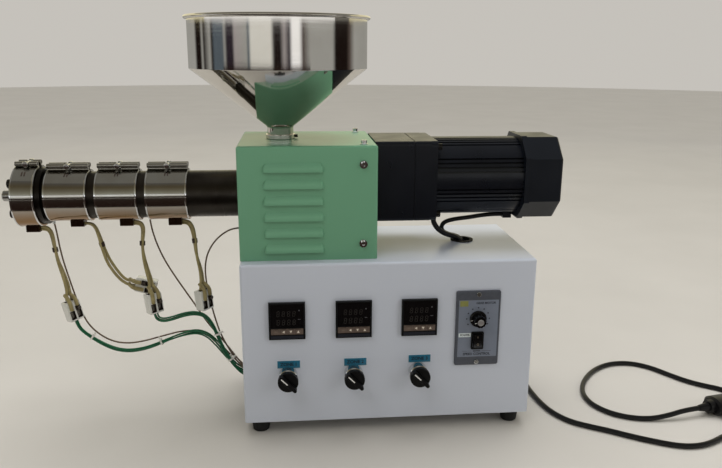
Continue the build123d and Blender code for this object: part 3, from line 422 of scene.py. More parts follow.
def drawn_out(bm, outline, move, index=0):
    """A flat outline of points in metres, drawn out by a move."""
    face = bm.faces.new([bm.verts.new(p) for p in outline])
    face.material_index = index
    made = bmesh.ops.extrude_face_region(bm, geom=[face])["geom"]
    bmesh.ops.translate(bm, verts=verts_of(made), vec=move)


def arc(centre, radius, first, last, steps):
    """Points of a profile along an arc, angles in degrees."""
    turns = [math.radians(first + (last - first) * k / steps) for k in range(steps + 1)]
    return [(centre[0] + radius * math.cos(t), centre[1] + radius * math.sin(t)) for t in turns]


# Ceramic terminal blocks, made before the leads that end in them: the upper end, the lean about Y and the turn
# about the length
BLOCKS = (
    ((-291.6, -2, 162.5), -13, 45), ((-205.1, 11, 181), -75, 0), ((-180.1, -12, 174), -6, 40),
    ((-113.6, -8, 175.5), -5, 50),
)


def block_turn(number):
    """The matrix that takes a block drawn hanging from the origin to its place."""
    at, lean, turn = BLOCKS[number]
    upright = Matrix.Rotation(math.radians(turn), 4, "Z")
    return Matrix.Translation(mm(*at)) @ Matrix.Rotation(math.radians(lean), 4, "Y") @ upright


def pocket(bm, low, high, depth, index):
    """Press the flat faces between two corners in by depth, a vector in millimetres."""
    for axis in range(3):
        if low[axis] == high[axis]:
            continue
        plane = Vector([float(k == axis) for k in range(3)])
        for value in (low[axis], high[axis]):
            geom = bm.verts[:] + bm.edges[:] + bm.faces[:]
            bmesh.ops.bisect_plane(bm, geom=geom, dist=1e-7, plane_co=plane * value * MM, plane_no=plane)
    near, inward = 0.01 * MM, Vector(depth)
    chosen = []
    for f in bm.faces:
        c = f.calc_center_median()
        inside = all(low[k] * MM - near <= c[k] <= high[k] * MM + near for k in range(3))
        if inside and f.normal.dot(inward) < -0.9 * inward.length:
            chosen.append(f)
    verts = verts_of(bmesh.ops.extrude_face_region(bm, geom=chosen)["geom"])
    bmesh.ops.delete(bm, geom=chosen, context="FACES_ONLY")
    bmesh.ops.translate(bm, verts=verts, vec=inward * MM)
    for f in {f for v in verts for f in v.link_faces}:
        f.material_index = index


def ceramic_block(number):
    """A two-way terminal block: a clamp well to each way, mouths at both ends, and one screw backed out."""
    bm = bmesh.new()
    brick(bm, (-10, -7.5, -28), (10, 7.5, 0), 1.8)
    for side, high in ((-1, -13.6), (1, -8.0)):
        near, far = sorted((side * 1.2, side * 8.4))
        # The wells and the leads' mouths are pressed in and given the dark brown: painted shade on their
        # porcelain walls and floors
        pocket(bm, (near, -7.5, -25.4), (far, -7.5, high), (0, 4.8, 0), 1)
        for level, inward in ((0, -2), (-28, 2)):
            pocket(bm, (near + 0.6, -4.5, level), (far - 0.6, 2.5, level), (0, 0, inward), 1)
        middle = side * 4.8
        brick(bm, (middle - 2.9, -4.6, -24), (middle + 2.9, -3.2, -15.4), 0.3, 2)
        peg(bm, (middle, -4.5, -20), (0, -1, 0), 2.1, 1.2, 0.3, 20, 2)
    peg(bm, (4.8, -3.0, -11.6), (0, -1, 0), 2.2, 8.6, 0.5, 20, 2)
    peg(bm, (4.8, -9.4, -11.6), (0, -1, 0), 2.9, 1.6, 0.3, 20, 1)
    # A thin dark bar across the backed-out screw's end stands for its slot: painted shade
    brick(bm, (3.0, -11.75, -11.95), (6.6, -11.5, -11.25), 0, 1)
    bmesh.ops.transform(bm, matrix=block_turn(number), verts=bm.verts[:])
    return piece(f"ceramic_block_{number + 1}", bm, [PORCELAIN, TARNISH_AND_SHADE, CLAMP], outward=True)


CERAMIC = [ceramic_block(number) for number in range(len(BLOCKS))]
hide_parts("ceramic_blocks")


# Cords: the routes are those of the solids, in metres
def route(*points):
    return [mm(*p) for p in points]


def spline(name, points, radius):
    """One open NURBS through the route's pull, as a bevelled curve."""
    data = bpy.data.curves.new(name, "CURVE")
    data.dimensions = "3D"
    line = data.splines.new("NURBS")
    line.points.add(len(points) - 1)
    for knot, p in zip(line.points, points):
        knot.co = (*p, 1)
    line.order_u = 3
    line.use_endpoint_u = True
    line.resolution_u = 10
    data.bevel_depth = radius
    data.bevel_resolution = 5
    data.use_fill_caps = bool(radius)
    return put(name, data)


def centreline(points):
    """Points along the route's own NURBS line."""
    mesh = as_mesh(spline("line", points, 0))
    line = [v.co.copy() for v in mesh.vertices]
    bpy.data.meshes.remove(mesh)
    return line


def along(line):
    """The running length at each point of a line."""
    run = [0.0]
    for a, b in zip(line, line[1:]):
        run.append(run[-1] + (b - a).length)
    return run


def run_of(line):
    return along(line)[-1]


def at_share(pairs, share):
    """A value that changes along a line, given as (share, value) pairs."""
    for (s0, v0), (s1, v1) in zip(pairs, pairs[1:]):
        if share <= s1:
            return v0 + (v1 - v0) * max(share - s0, 0) / (s1 - s0)
    return pairs[-1][1]


def strands(name, points, wires, rings, turns, held, tones=1):
    """Several wires laid round one line, as one mesh.

    wires is their number and diameter, rings the radius they lie on as (share, value) pairs, and held the end
    of the line and the direction in which the first wire lies there.
    """
    count, wire = wires
    line = centreline(points)
    data = bpy.data.curves.new(name, "CURVE")
    data.dimensions = "3D"
    data.bevel_depth = wire / 2 * MM
    data.bevel_resolution = 4
    data.use_fill_caps = True
    run = along(line)
    side = Vector((0.3, 1, 0.2)).cross(line[1] - line[0]).normalized()
    sides = []
    for k in range(len(line)):
        ahead = (line[min(k + 1, len(line) - 1)] - line[max(k - 1, 0)]).normalized()
        side = (side - side.dot(ahead) * ahead).normalized()
        sides.append((side.copy(), ahead.cross(side)))
    end, direction = held
    u, v = sides[end]
    first = math.atan2(Vector(direction).dot(v), Vector(direction).dot(u))
    origin = 0.0 if end == 0 else 1.0
    for strand in range(count):
        thread = data.splines.new("POLY")
        thread.points.add(len(line) - 1)
        thread.use_smooth = True
        thread.material_index = strand % tones
        for k, p in enumerate(line):
            share = run[k] / run[-1]
            angle = first + FULL * (strand / count + turns * (share - origin))
            loose = at_share(rings, share) * MM
            u, v = sides[k]
            thread.points[k].co = (*(p + loose * (math.cos(angle) * u + math.sin(angle) * v)), 1)
    mesh = as_mesh(put(name + "_curve", data))
    mesh.name = name
    mesh.shade_smooth()
    return put(name, mesh), line


def ring_round(bm, line, share, profile):
    """A closed profile of (radius, distance along) spun round a line at a share of its length."""
    run = along(line)
    k = min(range(1, len(line) - 1), key=lambda j: abs(run[j] / run[-1] - share))
    ahead = (line[k + 1] - line[k - 1]).normalized()
    lathe(bm, profile, line[k] / MM, ahead, 24, closed=True)
    return line[k] / MM, ahead


def finish_cord(made, materials, node):
    made.data.materials.clear()
    for one in materials:
        made.data.materials.append(one)
    belong(made, replaces=[node])


HEATER_ROUTES = (
    route(
        (-319.9, 5.5, 262), (-312.9, 5.5, 262), (-308.3, 4.5, 256.5), (-306.1, 3, 248),
        (-304.6, 1.5, 236), (-301.6, 0, 217), (-295.6, -1.5, 198), (-291.6, -2, 179),
        (-291.6, -2, 163.3),
    ),
    route(
        (-263, 5.5, 267.5), (-256, 5.5, 267.5), (-250.6, 6, 261.5), (-247.6, 6.8, 250.5),
        (-244.1, 7.8, 233), (-239.1, 9.3, 214), (-231.1, 10.6, 198.5), (-222.6, 11, 186.5),
        (-213.4, 11, 181), (-205.9, 11, 181),
    ),
    route(
        (-200, 5.5, 267.5), (-192.5, 5.5, 267.5), (-188.9, 4.6, 260.6), (-189.3, 3, 251.5),
        (-190.9, 1, 240), (-189.6, -2.5, 222), (-185.1, -7.5, 204), (-180.1, -12, 188),
        (-180.1, -12, 174.4),
    ),
    route(
        (-137, 5.5, 267.5), (-130.5, 5.5, 267.5), (-125.6, 5, 262), (-122.9, 3.8, 252),
        (-121.4, 1.5, 239), (-119.7, -2.2, 221), (-114.6, -6.5, 203), (-113.6, -8, 189),
        (-113.6, -8, 175.9),
    ),
)
BUNDLE_ROUTES = {
    "control_wires_long": route(
        (-285.3, -2, 135.2), (-283.3, -2, 126.5), (-277.6, -1.7, 117.5), (-265.1, -0.7, 106.5),
        (-250.1, 0.3, 95.5), (-233.1, 1, 87.5), (-213.1, 1, 85.5), (-189.1, 0, 91),
        (-165.1, -1, 101.5), (-143.1, -1, 109.5), (-125.1, -0.3, 112.5), (-110.1, 0.8, 106),
        (-98.1, 3, 91), (-85.1, 6, 70), (-71.1, 8.5, 52.5), (-54.1, 9.5, 43),
    ),
    "control_wires_short": route(
        (-177.2, -12, 146.1), (-176.6, -12, 140.2), (-172.6, -12.4, 135.8), (-164.6, -12.6, 134.6),
        (-153.1, -12, 137.3), (-139.1, -10.5, 141.4), (-125.1, -9.2, 142.8), (-112.6, -8.4, 139),
        (-103.1, -7.7, 126.5), (-96.6, -6.8, 108.5), (-90.1, -5.6, 89.5), (-81.6, -3.5, 71),
        (-72.6, -0.5, 56), (-63.6, 1.2, 45.5), (-54.1, 1.5, 41),
    ),
}
COUPLE_ROUTES = (
    route(
        (-309.6, 24.9, 264), (-309.6, 29.1, 255), (-308.6, 30, 242), (-305.6, 26, 225),
        (-299.6, 19, 205), (-293.1, 14.5, 184), (-287.1, 12, 162), (-281.1, 11, 141), (-272.1, 9, 122),
        (-257.1, 7.5, 107), (-239.1, 7, 97), (-219.1, 6.5, 94.5), (-197.1, 5.5, 98),
        (-171.1, 4.5, 105.5), (-145.1, 4.5, 111.8), (-124.1, 5.5, 111), (-107.1, 7, 102),
        (-93.1, 9.3, 86), (-80.1, 11, 69), (-68.1, 10.5, 55.5), (-54.1, 7.5, 49.5),
    ),
    route(
        (-183, 22.3, 269.7), (-183, 26.1, 261.5), (-181.6, 27.5, 250), (-176.6, 24.5, 233),
        (-167.1, 19, 212), (-154.1, 14, 190.5), (-140.1, 10.5, 169), (-126.1, 7.5, 147.5),
        (-114.1, 5.5, 127.5), (-102.6, 4.5, 111.5), (-90.6, 4.3, 96), (-79.1, 5.3, 78.5),
        (-67.6, 5.5, 61), (-54.1, 3, 50),
    ),
    route(
        (-56.6, 8, 257), (-69.1, 8, 257), (-84.1, 8, 250), (-97.1, 8, 238), (-106.6, 7, 222),
        (-110.4, 5, 204), (-109.6, 3, 185), (-107.1, 2.7, 165), (-103.1, 1.7, 146), (-98.6, -0.8, 128),
        (-93.6, -2.4, 111), (-86.6, -1.6, 94), (-78.6, 0, 77), (-69.6, 1.2, 61), (-54.1, -1.5, 46.5),
    ),
)
MOTOR_LEAD = route(
    (199.9, -12, 275.2), (199.9, -12, 267.5), (203.4, -11, 260), (209.9, -8.5, 252.5),
    (218.4, -5, 247), (228.4, -0.5, 243), (237.9, 4, 239), (244.4, 5.5, 231), (245.9, 5, 220),
)
FAN_LEAD = route(
    (300.9, 8, 270.5), (287.9, 8, 270.5), (271.9, 8.2, 269.2), (253.9, 8.6, 266.2),
    (236.9, 9.4, 264.4), (220.9, 10.6, 260.5), (215.8, 11.3, 252.9), (219.1, 11.8, 245.5),
    (228.4, 12.3, 241.3), (236.9, 13, 239.5), (244.4, 13.5, 235.3), (248.4, 13.3, 228.3),
    (249.4, 14.2, 219),
)
MAINS_CORD = route(
    (283.4, 118.5, 47), (283.4, 137, 47), (292.4, 158, 40.5), (311.9, 170, 27.5), (335.4, 165.5, 14.5),
    (352.4, 144, 4.2), (356.9, 109, 3.6), (357.9, 73, 3.6), (355.9, 38, 3.6), (354.9, 3, 3.6),
    (356.9, -34, 3.6), (363.9, -68, 3.6), (378.9, -95, 3.6), (398.9, -110, 3.6), (422.9, -124, 3.6),
    (444.9, -140, 3.6), (470.9, -156, 3.6), (498.9, -170, 3.6), (523.9, -171, 3.6), (546.9, -163, 3.6),
    (572.9, -148, 3.6), (606.9, -134, 3.6), (638.9, -114, 3.6), (658.9, -84, 3.6), (658.9, -50, 3.6),
    (642.9, -22, 3.6), (618.9, -6, 3.6), (600.9, 12, 3.6), (585.9, 36, 3.6), (570.9, 61, 3.6),
    (546.9, 79, 3.6), (514.9, 80, 3.6), (480.9, 62, 3.6), (448.9, 26, 3.6), (429.9, -12, 3.6),
    (427.9, -48, 3.6), (442.9, -77, 3.6), (465.9, -93, 3.6), (492.9, -99, 3.6), (518.9, -98, 7),
    (543.9, -94.5, 12), (566.9, -90, 12),
)


# Where white ties hold the bundles, as shares of their length
TIES = {"control_wires_long": (0.115, 0.47, 0.86), "control_wires_short": (0.56, 0.78)}


def cable_tie(bm, line, share):
    """A nylon strap round a bundle with its square head and a short cut tail."""
    centre, ahead = ring_round(bm, line, share, [(2.9, -1.2), (3.9, -1.2), (3.9, 1.2), (2.9, 1.2)])
    before = set(bm.verts)
    brick(bm, (-2.2, 2.6, -1.9), (2.2, 6.0, 1.9), 0.5)
    brick(bm, (-0.5, 5.4, -1.2), (0.5, 9.0, 1.2), 0.2)
    move_fresh(bm, before, stand(centre, ahead))


def sleeve_tails(number):
    """The frayed-out ends of a lead's sleeving, lying over the top of its block down to the clamps."""
    bm = bmesh.new()
    for side, low in ((-1, -12.4), (1, -7.4)):
        x = side * 4.4
        path = [(x * 0.75, 0.5, 9), (x * 0.9, -4.5, 6), (x, -8.6, 1.5), (x, -9.0, -4), (x * 1.05, -7.9, low)]
        mesh = as_mesh(spline("tail", [block_turn(number) @ mm(*p) for p in path], 2.6 * MM))
        bm.from_mesh(mesh)
        bpy.data.meshes.remove(mesh)
    return piece(f"sleeve_tails_{number + 1}", bm, [GLASS_SLEEVE])


def lay_cords():
    crimp = [(1.0, -3.2), (3.4, -3.2), (3.7, -2.7), (3.7, 2.7), (3.4, 3.2), (1.0, 3.2)]
    for number, points in enumerate(HEATER_ROUTES):
        across = block_turn(number).to_3x3() @ Vector((1, 0, 0))
        rings = [(0, 1.9), (0.3, 2.0), (0.6, 2.6), (0.88, 2.3), (1, 3.7)]
        made, line = strands(f"sleeved_lead_{number + 1}", points, (2, 4.0), rings, 0.3, (-1, across), 2)
        finish_cord(made, (GLASS_SLEEVE, GREY_SLEEVE), f"heater_lead_{number + 1}")
        bm = bmesh.new()
        ring_round(bm, line, 0.34, crimp)
        band = piece(f"lead_crimp_{number + 1}", bm, [TARNISH_AND_SHADE])
        sleeve_tails(number)
    # The bundles' wires and how loosely they lie along the way
    for name, wires, rings, turns in (
        ("control_wires_long", (4, 2.2),
         [(0, 1.5), (0.3, 1.6), (0.5, 1.5), (0.62, 2.6), (0.75, 2.9), (1, 1.6)], 0.6),
        ("control_wires_short", (3, 2.3), [(0, 2.5), (0.3, 2.3), (0.5, 1.4), (1, 1.5)], 0.15),
    ):
        points = BUNDLE_ROUTES[name]
        made, line = strands("green_" + name, points, wires, rings, turns, (0, (1, 0, 0.1)))
        finish_cord(made, [GREEN_WIRE], name)
        bm = bmesh.new()
        for share in TIES[name]:
            cable_tie(bm, line, share)
        tied = piece("ties_" + name, bm, [NYLON_WHITE])
    round_ones = [
        (f"couple_wire_{number}", f"thermocouple_wire_{number}", points, 2.2, COUPLE_WIRE, "brown_wire")
        for number, points in enumerate(COUPLE_ROUTES, 1)
    ] + [
        ("motor_lead_sheath", "motor_lead", MOTOR_LEAD, 7, PVC_BLACK, "rubber"),
        ("fan_lead_sheath", "fan_lead", FAN_LEAD, 6, PVC_BLACK, "rubber"),
    ]
    for name, node, points, dia, material, slot in round_ones:
        made = spline(name, points, dia / 2 * MM)
        finish_cord(made, [material], node)
        run_of(centreline(points))
    made = spline("mains_cord_sheath", MAINS_CORD, 3.5 * MM)
    finish_cord(made, [PVC_BLACK], "mains_cord")
    run_of(centreline(MAINS_CORD))


lay_cords()


# Hopper: one spun skin with a rolled rim, a collar round its neck and a set screw
def make_hopper():
    rim = COVER_TOP + 152
    bead = arc((115.125, rim), 2.375, 226.8, 450, 18)
    # From the neck's bore out and up the outside, over the bead and down the inside
    profile = [
        (15.75, 336.1), (17.25, 336.1), (17.25, 392.6), (17.6, 394.3), (18.7, 395.5), (112.9, 467.9),
        (113.5, 468.7), (113.5, 500), *bead, (114.0, rim + 2.1), (112.9, rim + 1.4), (112.2, rim + 0.2),
        (112, rim - 1.5), (112, 469.2), (15.75, 395.2),
    ]
    bm = bmesh.new()
    lathe(bm, profile, (HOPPER_X, AXIS_Y, 0), (0, 0, 1), 160, closed=True)
    piece("hopper_skin", bm, [SPUN_STEEL], replaces=["hopper"], outward=True)
    bm = bmesh.new()
    low = COVER_TOP + 0.3
    collar = [(17.3, low), (18.6, low), (19, low + 0.4), (19, low + 5.2), (18.6, low + 5.6), (17.3, low + 5.6)]
    lathe(bm, collar, (HOPPER_X, AXIS_Y, 0), (0, 0, 1), closed=True)
    peg(bm, (HOPPER_X + 18.4, AXIS_Y, low + 2.8), (1, 0, 0), 1.9, 4.2, 0.4, 24, 1)
    piece("neck_collar", bm, [SPUN_STEEL, BLACK_SCREW])


make_hopper()


# Heater bands: rolled shell with folded rims, and edges turned up into rolled ears round two pins.
# Each has its left edge, width, inner radius, the slit between its ears and their height
BANDS = (
    (-341.9, 29, 37.3, 9.0, 6.5), (-304, 53, 31.0, 4.0, 9.0), (-241, 53, 31.0, 4.0, 9.0),
    (-178, 53, 31.0, 4.0, 9.0),
)
WALL, BEAD = 2.4, 0.4  # from a band's bore to its outside, and how far the bead at its edge stands out
CURL, LEAF = 3.2, 1.6  # an ear's outer radius and the thickness of its foot
NOTCH = 4.1  # half the notch that the cross screw has in the ears


def ear_section(slit, inner, height, rolled):
    """One turned-up edge as (across, up) points from the band's middle and axis; rolled adds its curl."""
    outer = inner + WALL
    up = outer + height - CURL
    left, right = slit / 2, slit / 2 + LEAF
    foot = math.sqrt(outer ** 2 - (right + 2) ** 2)
    if rolled:
        centre = (left + CURL, up)
        top = [(left, up - 1)] + arc(centre, CURL, 180, -108, 18) + arc(centre, CURL - 1, -108, 137, 14)
    else:
        top = [(left, up - 4.4), (left + 0.5, up - 3.9), (right - 0.5, up - 3.9), (right, up - 4.4)]
    fillet = arc((right + 2, foot + 2), 2, 180, 270, 6)
    return [(left, inner + 0.5)] + top + fillet + [(right + 2.2, foot - 0.8)]


def heater_band(number, left, width, inner, slit, height):
    outer = inner + WALL
    lip = outer + BEAD
    near = [
        (inner, 0.4), (inner + 0.4, 0), (lip - 0.5, 0), (lip - 0.1, 0.2), (lip, 0.6), (lip, 1.5),
        (lip - 0.1, 1.9), (outer, 2.3),
    ]
    gap = math.asin(slit / 2 / outer)
    bm = bmesh.new()
    lathe(
        bm, near + [(r, width - h) for r, h in reversed(near)], (left, AXIS_Y, AXIS_Z), (1, 0, 0), 140,
        FULL - 2 * gap, HALF + gap, True)
    bmesh.ops.holes_fill(bm, edges=[e for e in bm.edges if e.is_boundary], sides=40)
    middle = left + width / 2
    for side in (-1, 1):
        for x0, x1, rolled in (
            (left + 0.7, middle - NOTCH, True), (middle - NOTCH, middle + NOTCH, False),
            (middle + NOTCH, left + width - 0.7, True),
        ):
            section = ear_section(slit, inner, height, rolled)
            drawn_out(bm, [mm(x0, AXIS_Y + side * a, AXIS_Z + b) for a, b in section], mm(x1 - x0, 0, 0))
        pin = (left + 1.2, AXIS_Y + side * (slit / 2 + CURL), AXIS_Z + outer + height - CURL)
        peg(bm, pin, (1, 0, 0), 2.0, width - 2.4, 0.4, 24, 1)
    bmesh.ops.recalc_face_normals(bm, faces=bm.faces[:])
    # The bead rolled at each edge takes the brighter chrome instead of the band's own steel: a painted
    # highlight
    for face in bm.faces:
        spot = face.calc_center_median() / MM
        from_edge = min(spot.x - left, left + width - spot.x)
        from_axis = math.hypot(spot.y - AXIS_Y, spot.z - AXIS_Z)
        if 0.1 < from_edge < 2 and outer < from_axis < lip and spot.z < AXIS_Z + inner:
            face.material_index = 3
    # Two pressed slots on the shoulder under the notch, on the front: thin dark brown plates laid on the shell,
    # painted shade in place of the slots
    low, high = outer - 0.2, outer + 0.12
    turn = math.radians(90 + (24 if number else 30))
    for shift in (-2.4, 1.0):
        slot = [(low, shift), (high, shift), (high, shift + 1.5), (low, shift + 1.5)]
        lathe(bm, slot, (middle, AXIS_Y, AXIS_Z), (1, 0, 0), 8, math.radians(11), turn, True, 2)
    piece(
        f"band_shell_{number + 1}", bm, [BAND_STEEL, ZINC, TARNISH_AND_SHADE, CHROME],
        replaces=[f"heater_band_{number + 1}"])


for number, sizes in enumerate(BANDS):
    heater_band(number, *sizes)


# Front panel prints and small parts
def plate(bm, x, z, depth, index=0, soft=0.0):
    """A thin plate from x and z ranges, depth being the y of its back and face."""
    brick(bm, (x[0], depth[1], z[0]), (x[1], depth[0], z[1]), soft, index)


def digit(bm, x, z, high, back, index):
    """Seven unlit segments of a display figure, leaning a little; x and z are its lower left corner."""
    wide, bar = high * 0.5, high * 0.12
    before = set(bm.verts)
    face = (back, back - 0.1)
    for level in (0, 0.5, 1):
        low = z + level * (high - bar)
        plate(bm, (x + bar * 1.15, x + wide - bar * 1.15), (low, low + bar), face, index)
    for left in (x, x + wide - bar):
        for low in (z + bar * 0.6, z + high / 2 + bar * 0.15):
            plate(bm, (left, left + bar), (low, low + high / 2 - bar * 0.9), face, index)
    slant = Matrix.Identity(4)
    slant[0][2] = 0.1
    foot = Matrix.Translation(mm(0, 0, z))
    move_fresh(bm, before, foot @ slant @ foot.inverted())


def controller_face(number, x):
    """Smoked window with unlit figures, an indicator, the brown key film with its marks and a slate band."""
    top, face = CONTROLLER_Z + 24.4, PANEL_Y - 5.5
    bm = bmesh.new()
    sunk = face + 0.8
    plate(bm, (x - 20.5, x + 20.5), (top - 32.4, top - 1.8), (sunk + 0.05, sunk - 0.05), 0)
    for k in range(4):
        left = x - 13.2 + 6.6 * k
        digit(bm, left, top - 17.9, 7.6, sunk - 0.06, 1)
        digit(bm, left, top - 29.4, 7.8, sunk - 0.06, 1)
    peg(bm, (x + 15.4, sunk - 0.05, top - 10), (0, -1, 0), 1.0, 0.12, steps=20, index=2)
    plate(bm, (x + 13.8, x + 17.2), (top - 22.1, top - 21.3), (sunk - 0.05, sunk - 0.16), 2)
    strip, key = face + 0.6, face - 0.1
    plate(bm, (x - 20.3, x + 20.3), (top - 42.0, top - 34.0), (strip + 0.05, strip - 0.06), 3)
    # The keys' marks: a bar, then arrows to the left, down and up
    level, mark = top - 38.0, key - 0.09
    arrows = (None, ((1.5, -1.7, 1.5), (-1.6, 0, 1.6)), ((-1.6, 0, 1.6), (1.5, -1.7, 1.5)),
              ((-1.6, 1.6, 0), (-1.5, -1.5, 1.7)))
    for k, arrow in enumerate(arrows):
        middle = x + (k - 1.5) * 9.3
        plate(bm, (middle - 3.4, middle + 3.4), (level - 2.9, level + 2.9), (key + 0.02, key - 0.08), 3, 0.03)
        if arrow:
            drawn_out(bm, [mm(middle + a, mark, level + b) for a, b in zip(*arrow)], mm(0, -0.1, 0), 4)
        else:
            plate(bm, (middle - 1.6, middle + 1.6), (level - 0.35, level + 0.35), (mark, mark - 0.1), 5)
    plate(bm, (x - 20.6, x + 20.6), (top - 47.2, top - 43.2), (face - 0.01, face - 0.08), 6)
    materials = [SMOKED, UNLIT, INDICATOR, KEY_FILM, KEY_MARKS, KEY_DIM, SLATE_FILM]
    piece(f"controller_face_{number}", bm, materials, sharp=20, outward=True)


def lettering(name, words, size, at):
    """Plain raised dark print facing the front, centred at a place."""
    data = bpy.data.curves.new(name, "FONT")
    data.body = words
    data.size = size * MM
    data.extrude = 0.05 * MM
    data.offset = 0.03 * size * MM
    data.align_x = data.align_y = "CENTER"
    data.resolution_u = 4
    words_curve = put(name + "_curve", data)
    bpy.context.view_layer.update()
    mesh = as_mesh(words_curve)
    mesh.transform(Matrix.Translation(mm(*at)) @ Matrix.Rotation(HALF, 4, "X"))
    bm = bmesh.new()
    bm.from_mesh(mesh)
    bpy.data.meshes.remove(mesh)
    piece(name, bm, [DARK_PRINT])


# Middles of the laminate tags under the controllers
LABELS = ((1.9, 100.05), (87.7, 100.7), (171.65, 102.45))


def panel_labels():
    """Engraved laminate tags with plain zone numbers."""
    for number, (x, z) in enumerate(LABELS, 1):
        bm = bmesh.new()
        plate(bm, (x - 14.8, x + 14.8), (z - 5.4, z + 5.4), (PANEL_Y, PANEL_Y - 0.9), 1)
        plate(bm, (x - 14.5, x + 14.5), (z - 5.1, z + 5.1), (PANEL_Y - 0.85, PANEL_Y - 1.1), 0, 0.12)
        piece(f"zone_label_{number}", bm, [LABEL_BLUE, LABEL_CORE], outward=True)
        lettering(f"zone_number_{number}", f"ZONE {number}", 6.2, (x, PANEL_Y - 1.12, z))


def line_on_knob(name, bm, x, z, degrees, body):
    """What was drawn along +X round the origin, turned to a knob's rest and made white."""
    turn = Matrix.Translation(mm(x, 0, z)) @ Matrix.Rotation(math.radians(degrees), 4, "Y")
    bmesh.ops.transform(bm, matrix=turn, verts=bm.verts[:])
    piece(name, bm, [WHITE_LACQUER], body=body, outward=True)


def knob_lines():
    """The white line pressed into each selector knob's grip."""
    for number, x in enumerate(COLUMNS, 1):
        bm = bmesh.new()
        plate(bm, (0.8, 12.0), (-0.75, 0.75), (PANEL_Y - 29.95, PANEL_Y - 30.12), soft=0.04)
        line_on_knob(f"knob_line_{number}", bm, x, SWITCH_Z, -135, f"selector_knob_{number}")


def speed_panel():
    """Silk-screened face of the speed controller with dots, lines and words, and the knob's cap and pointer."""
    bm = bmesh.new()
    face, printed = SPEED_FACE, SPEED_FACE - 0.1
    plate(bm, (SPEED_X - 25.5, SPEED_X + 26.4), (SPEED_Z - 39.3, SPEED_Z + 38.7), (face, face - 0.12), 0)
    for k in range(9):
        angle = math.radians(210 - 30 * k)
        x, z = SPEED_X + 14.9 * math.cos(angle), DIAL_Z + 14.9 * math.sin(angle)
        peg(bm, (x, printed, z), (0, -1, 0), 0.95, 0.08, steps=16, index=1)
    low = SPEED_Z - 31.5
    for near, far in ((-19, -7), (7, 19)):
        plate(bm, (SPEED_X + near, SPEED_X + far), (low, low + 0.3), (printed, face - 0.17), 1)
    for x0, x1, z0, z1, high, index in (
        (-24.6, -8.4, -11.6, -6.2, 0.3, 2), (-24.2, -13.4, 30.4, 38.0, 0.26, 3),
    ):
        ends = (SPEED_X + x0, SPEED_X + x1), (SPEED_Z + z0, SPEED_Z + z1)
        plate(bm, *ends, (printed, face - high), index, 0.08)
    materials = [FACE_GREY, DARK_PRINT, LABEL_CORE, TAG_YELLOW]
    piece("speed_face", bm, materials, sharp=20, outward=True)
    lettering("speed_words", "SPEED CONTROL", 4.6, (SPEED_X, face - 0.14, SPEED_Z - 35.6))
    lettering("motor_words", "MOTOR", 2.6, (SPEED_X, face - 0.14, low))
    lettering("unit_words", "GEAR MOTOR", 4.0, (SPEED_X + 9.8, face - 0.14, SPEED_Z + 34.6))
    lettering("power_words", "POWER", 3.6, (SPEED_X - 16.5, face - 0.32, SPEED_Z - 8.9))
    bm = bmesh.new()
    front = face - 0.5 - 14
    peg(bm, (SPEED_X, front - 1.1, DIAL_Z), (0, -1, 0), 4.2, 0.3, 0.12, 40)
    piece("knob_cap", bm, [SILVER_CAP], body="speed_knob")
    bm = bmesh.new()
    plate(bm, (7.9, 10.8), (-0.35, 0.35), (face - 3.4, face - 3.6), soft=0.04)
    plate(bm, (4.6, 7.5), (-0.35, 0.35), (front + 0.02, front - 0.12), soft=0.04)
    line_on_knob("speed_pointer", bm, SPEED_X, DIAL_Z, 170, "speed_knob")


def rocker_marks():
    """Bar and ring printed on the two faces of the rocker, which rests pressed in at the top."""
    bm = bmesh.new()
    tilt = Matrix.Translation(mm(SPEED_X, SPEED_FACE, ROCKER_Z)) @ Matrix.Rotation(math.radians(-8), 4, "X")
    crest = Matrix.Translation(mm(0, -4.2, 0))
    plate(bm, (-0.25, 0.25), (3.4, 6.2), (-4.18, -4.26))
    bar = set(bm.verts)
    loop = [(1.0, -0.02), (1.0, 0.06), (1.45, 0.06), (1.45, -0.02)]
    lathe(bm, loop, (0, -4.2, -4.9), (0, -1, 0), 32, closed=True)
    for verts, slope in ((bar, 9.25), (set(bm.verts) - bar, -9.25)):
        lean = crest @ Matrix.Rotation(math.radians(slope), 4, "X") @ crest.inverted()
        bmesh.ops.transform(bm, matrix=tilt @ lean, verts=list(verts))
    piece("rocker_marks", bm, [KEY_DIM], body="power_rocker", outward=True)


def pan_head(bm, base, direction):
    """A low pan-head screw, its cross recess drawn as two crossed bars."""
    profile = [(0.0, 1.7), (1.4, 1.65), (2.4, 1.3), (3.2, 0.4), (3.2, -0.1), (0.0, -0.1)]
    lathe(bm, profile, base, direction, 28)
    before = set(bm.verts)
    for wide, high in ((1.9, 0.35), (0.35, 1.9)):
        brick(bm, (-wide, -high, 1.25), (wide, high, 1.72))
    move_fresh(bm, before, stand(base, direction))


def back_details():
    """Pan-head screws round the back panel, the gland's ribs and the screws in the feet."""
    bm = bmesh.new()
    edge = [(x, z) for x in (-50.6, 36, 132.4, 228, 315.4) for z in (25, 228)] + [(-50.6, 126), (315.4, 126)]
    for x, z in edge:
        pan_head(bm, (x, BACK_Y, z), (0, 1, 0))
    for x in (-36.6, 301.4):
        for y in (PANEL_Y + 20, BACK_Y - 20):
            pan_head(bm, (x, y, 6), (0, 0, -1))
    piece("case_screws", bm, [ZINC])
    # Ribs on the gland's sleeve, which tapers from a radius of 7 to 5 over 18 mm
    bm = bmesh.new()
    for k in range(5):
        away = 2.2 + 3.0 * k
        r = 7.0 - 2.0 * away / 18
        rib = [(r - 0.4, -0.9), (r + 0.5, -0.6), (r + 0.5, 0.6), (r - 0.4, 0.9)]
        lathe(bm, rib, (GLAND_X, BACK_Y + 5 + away, GLAND_Z), (0, 1, 0), 32, closed=True)
    piece("gland_ribs", bm, [PVC_BLACK], outward=True)


for number, x in enumerate(COLUMNS, 1):
    controller_face(number, x)
panel_labels()
knob_lines()
speed_panel()
rocker_marks()
back_details()


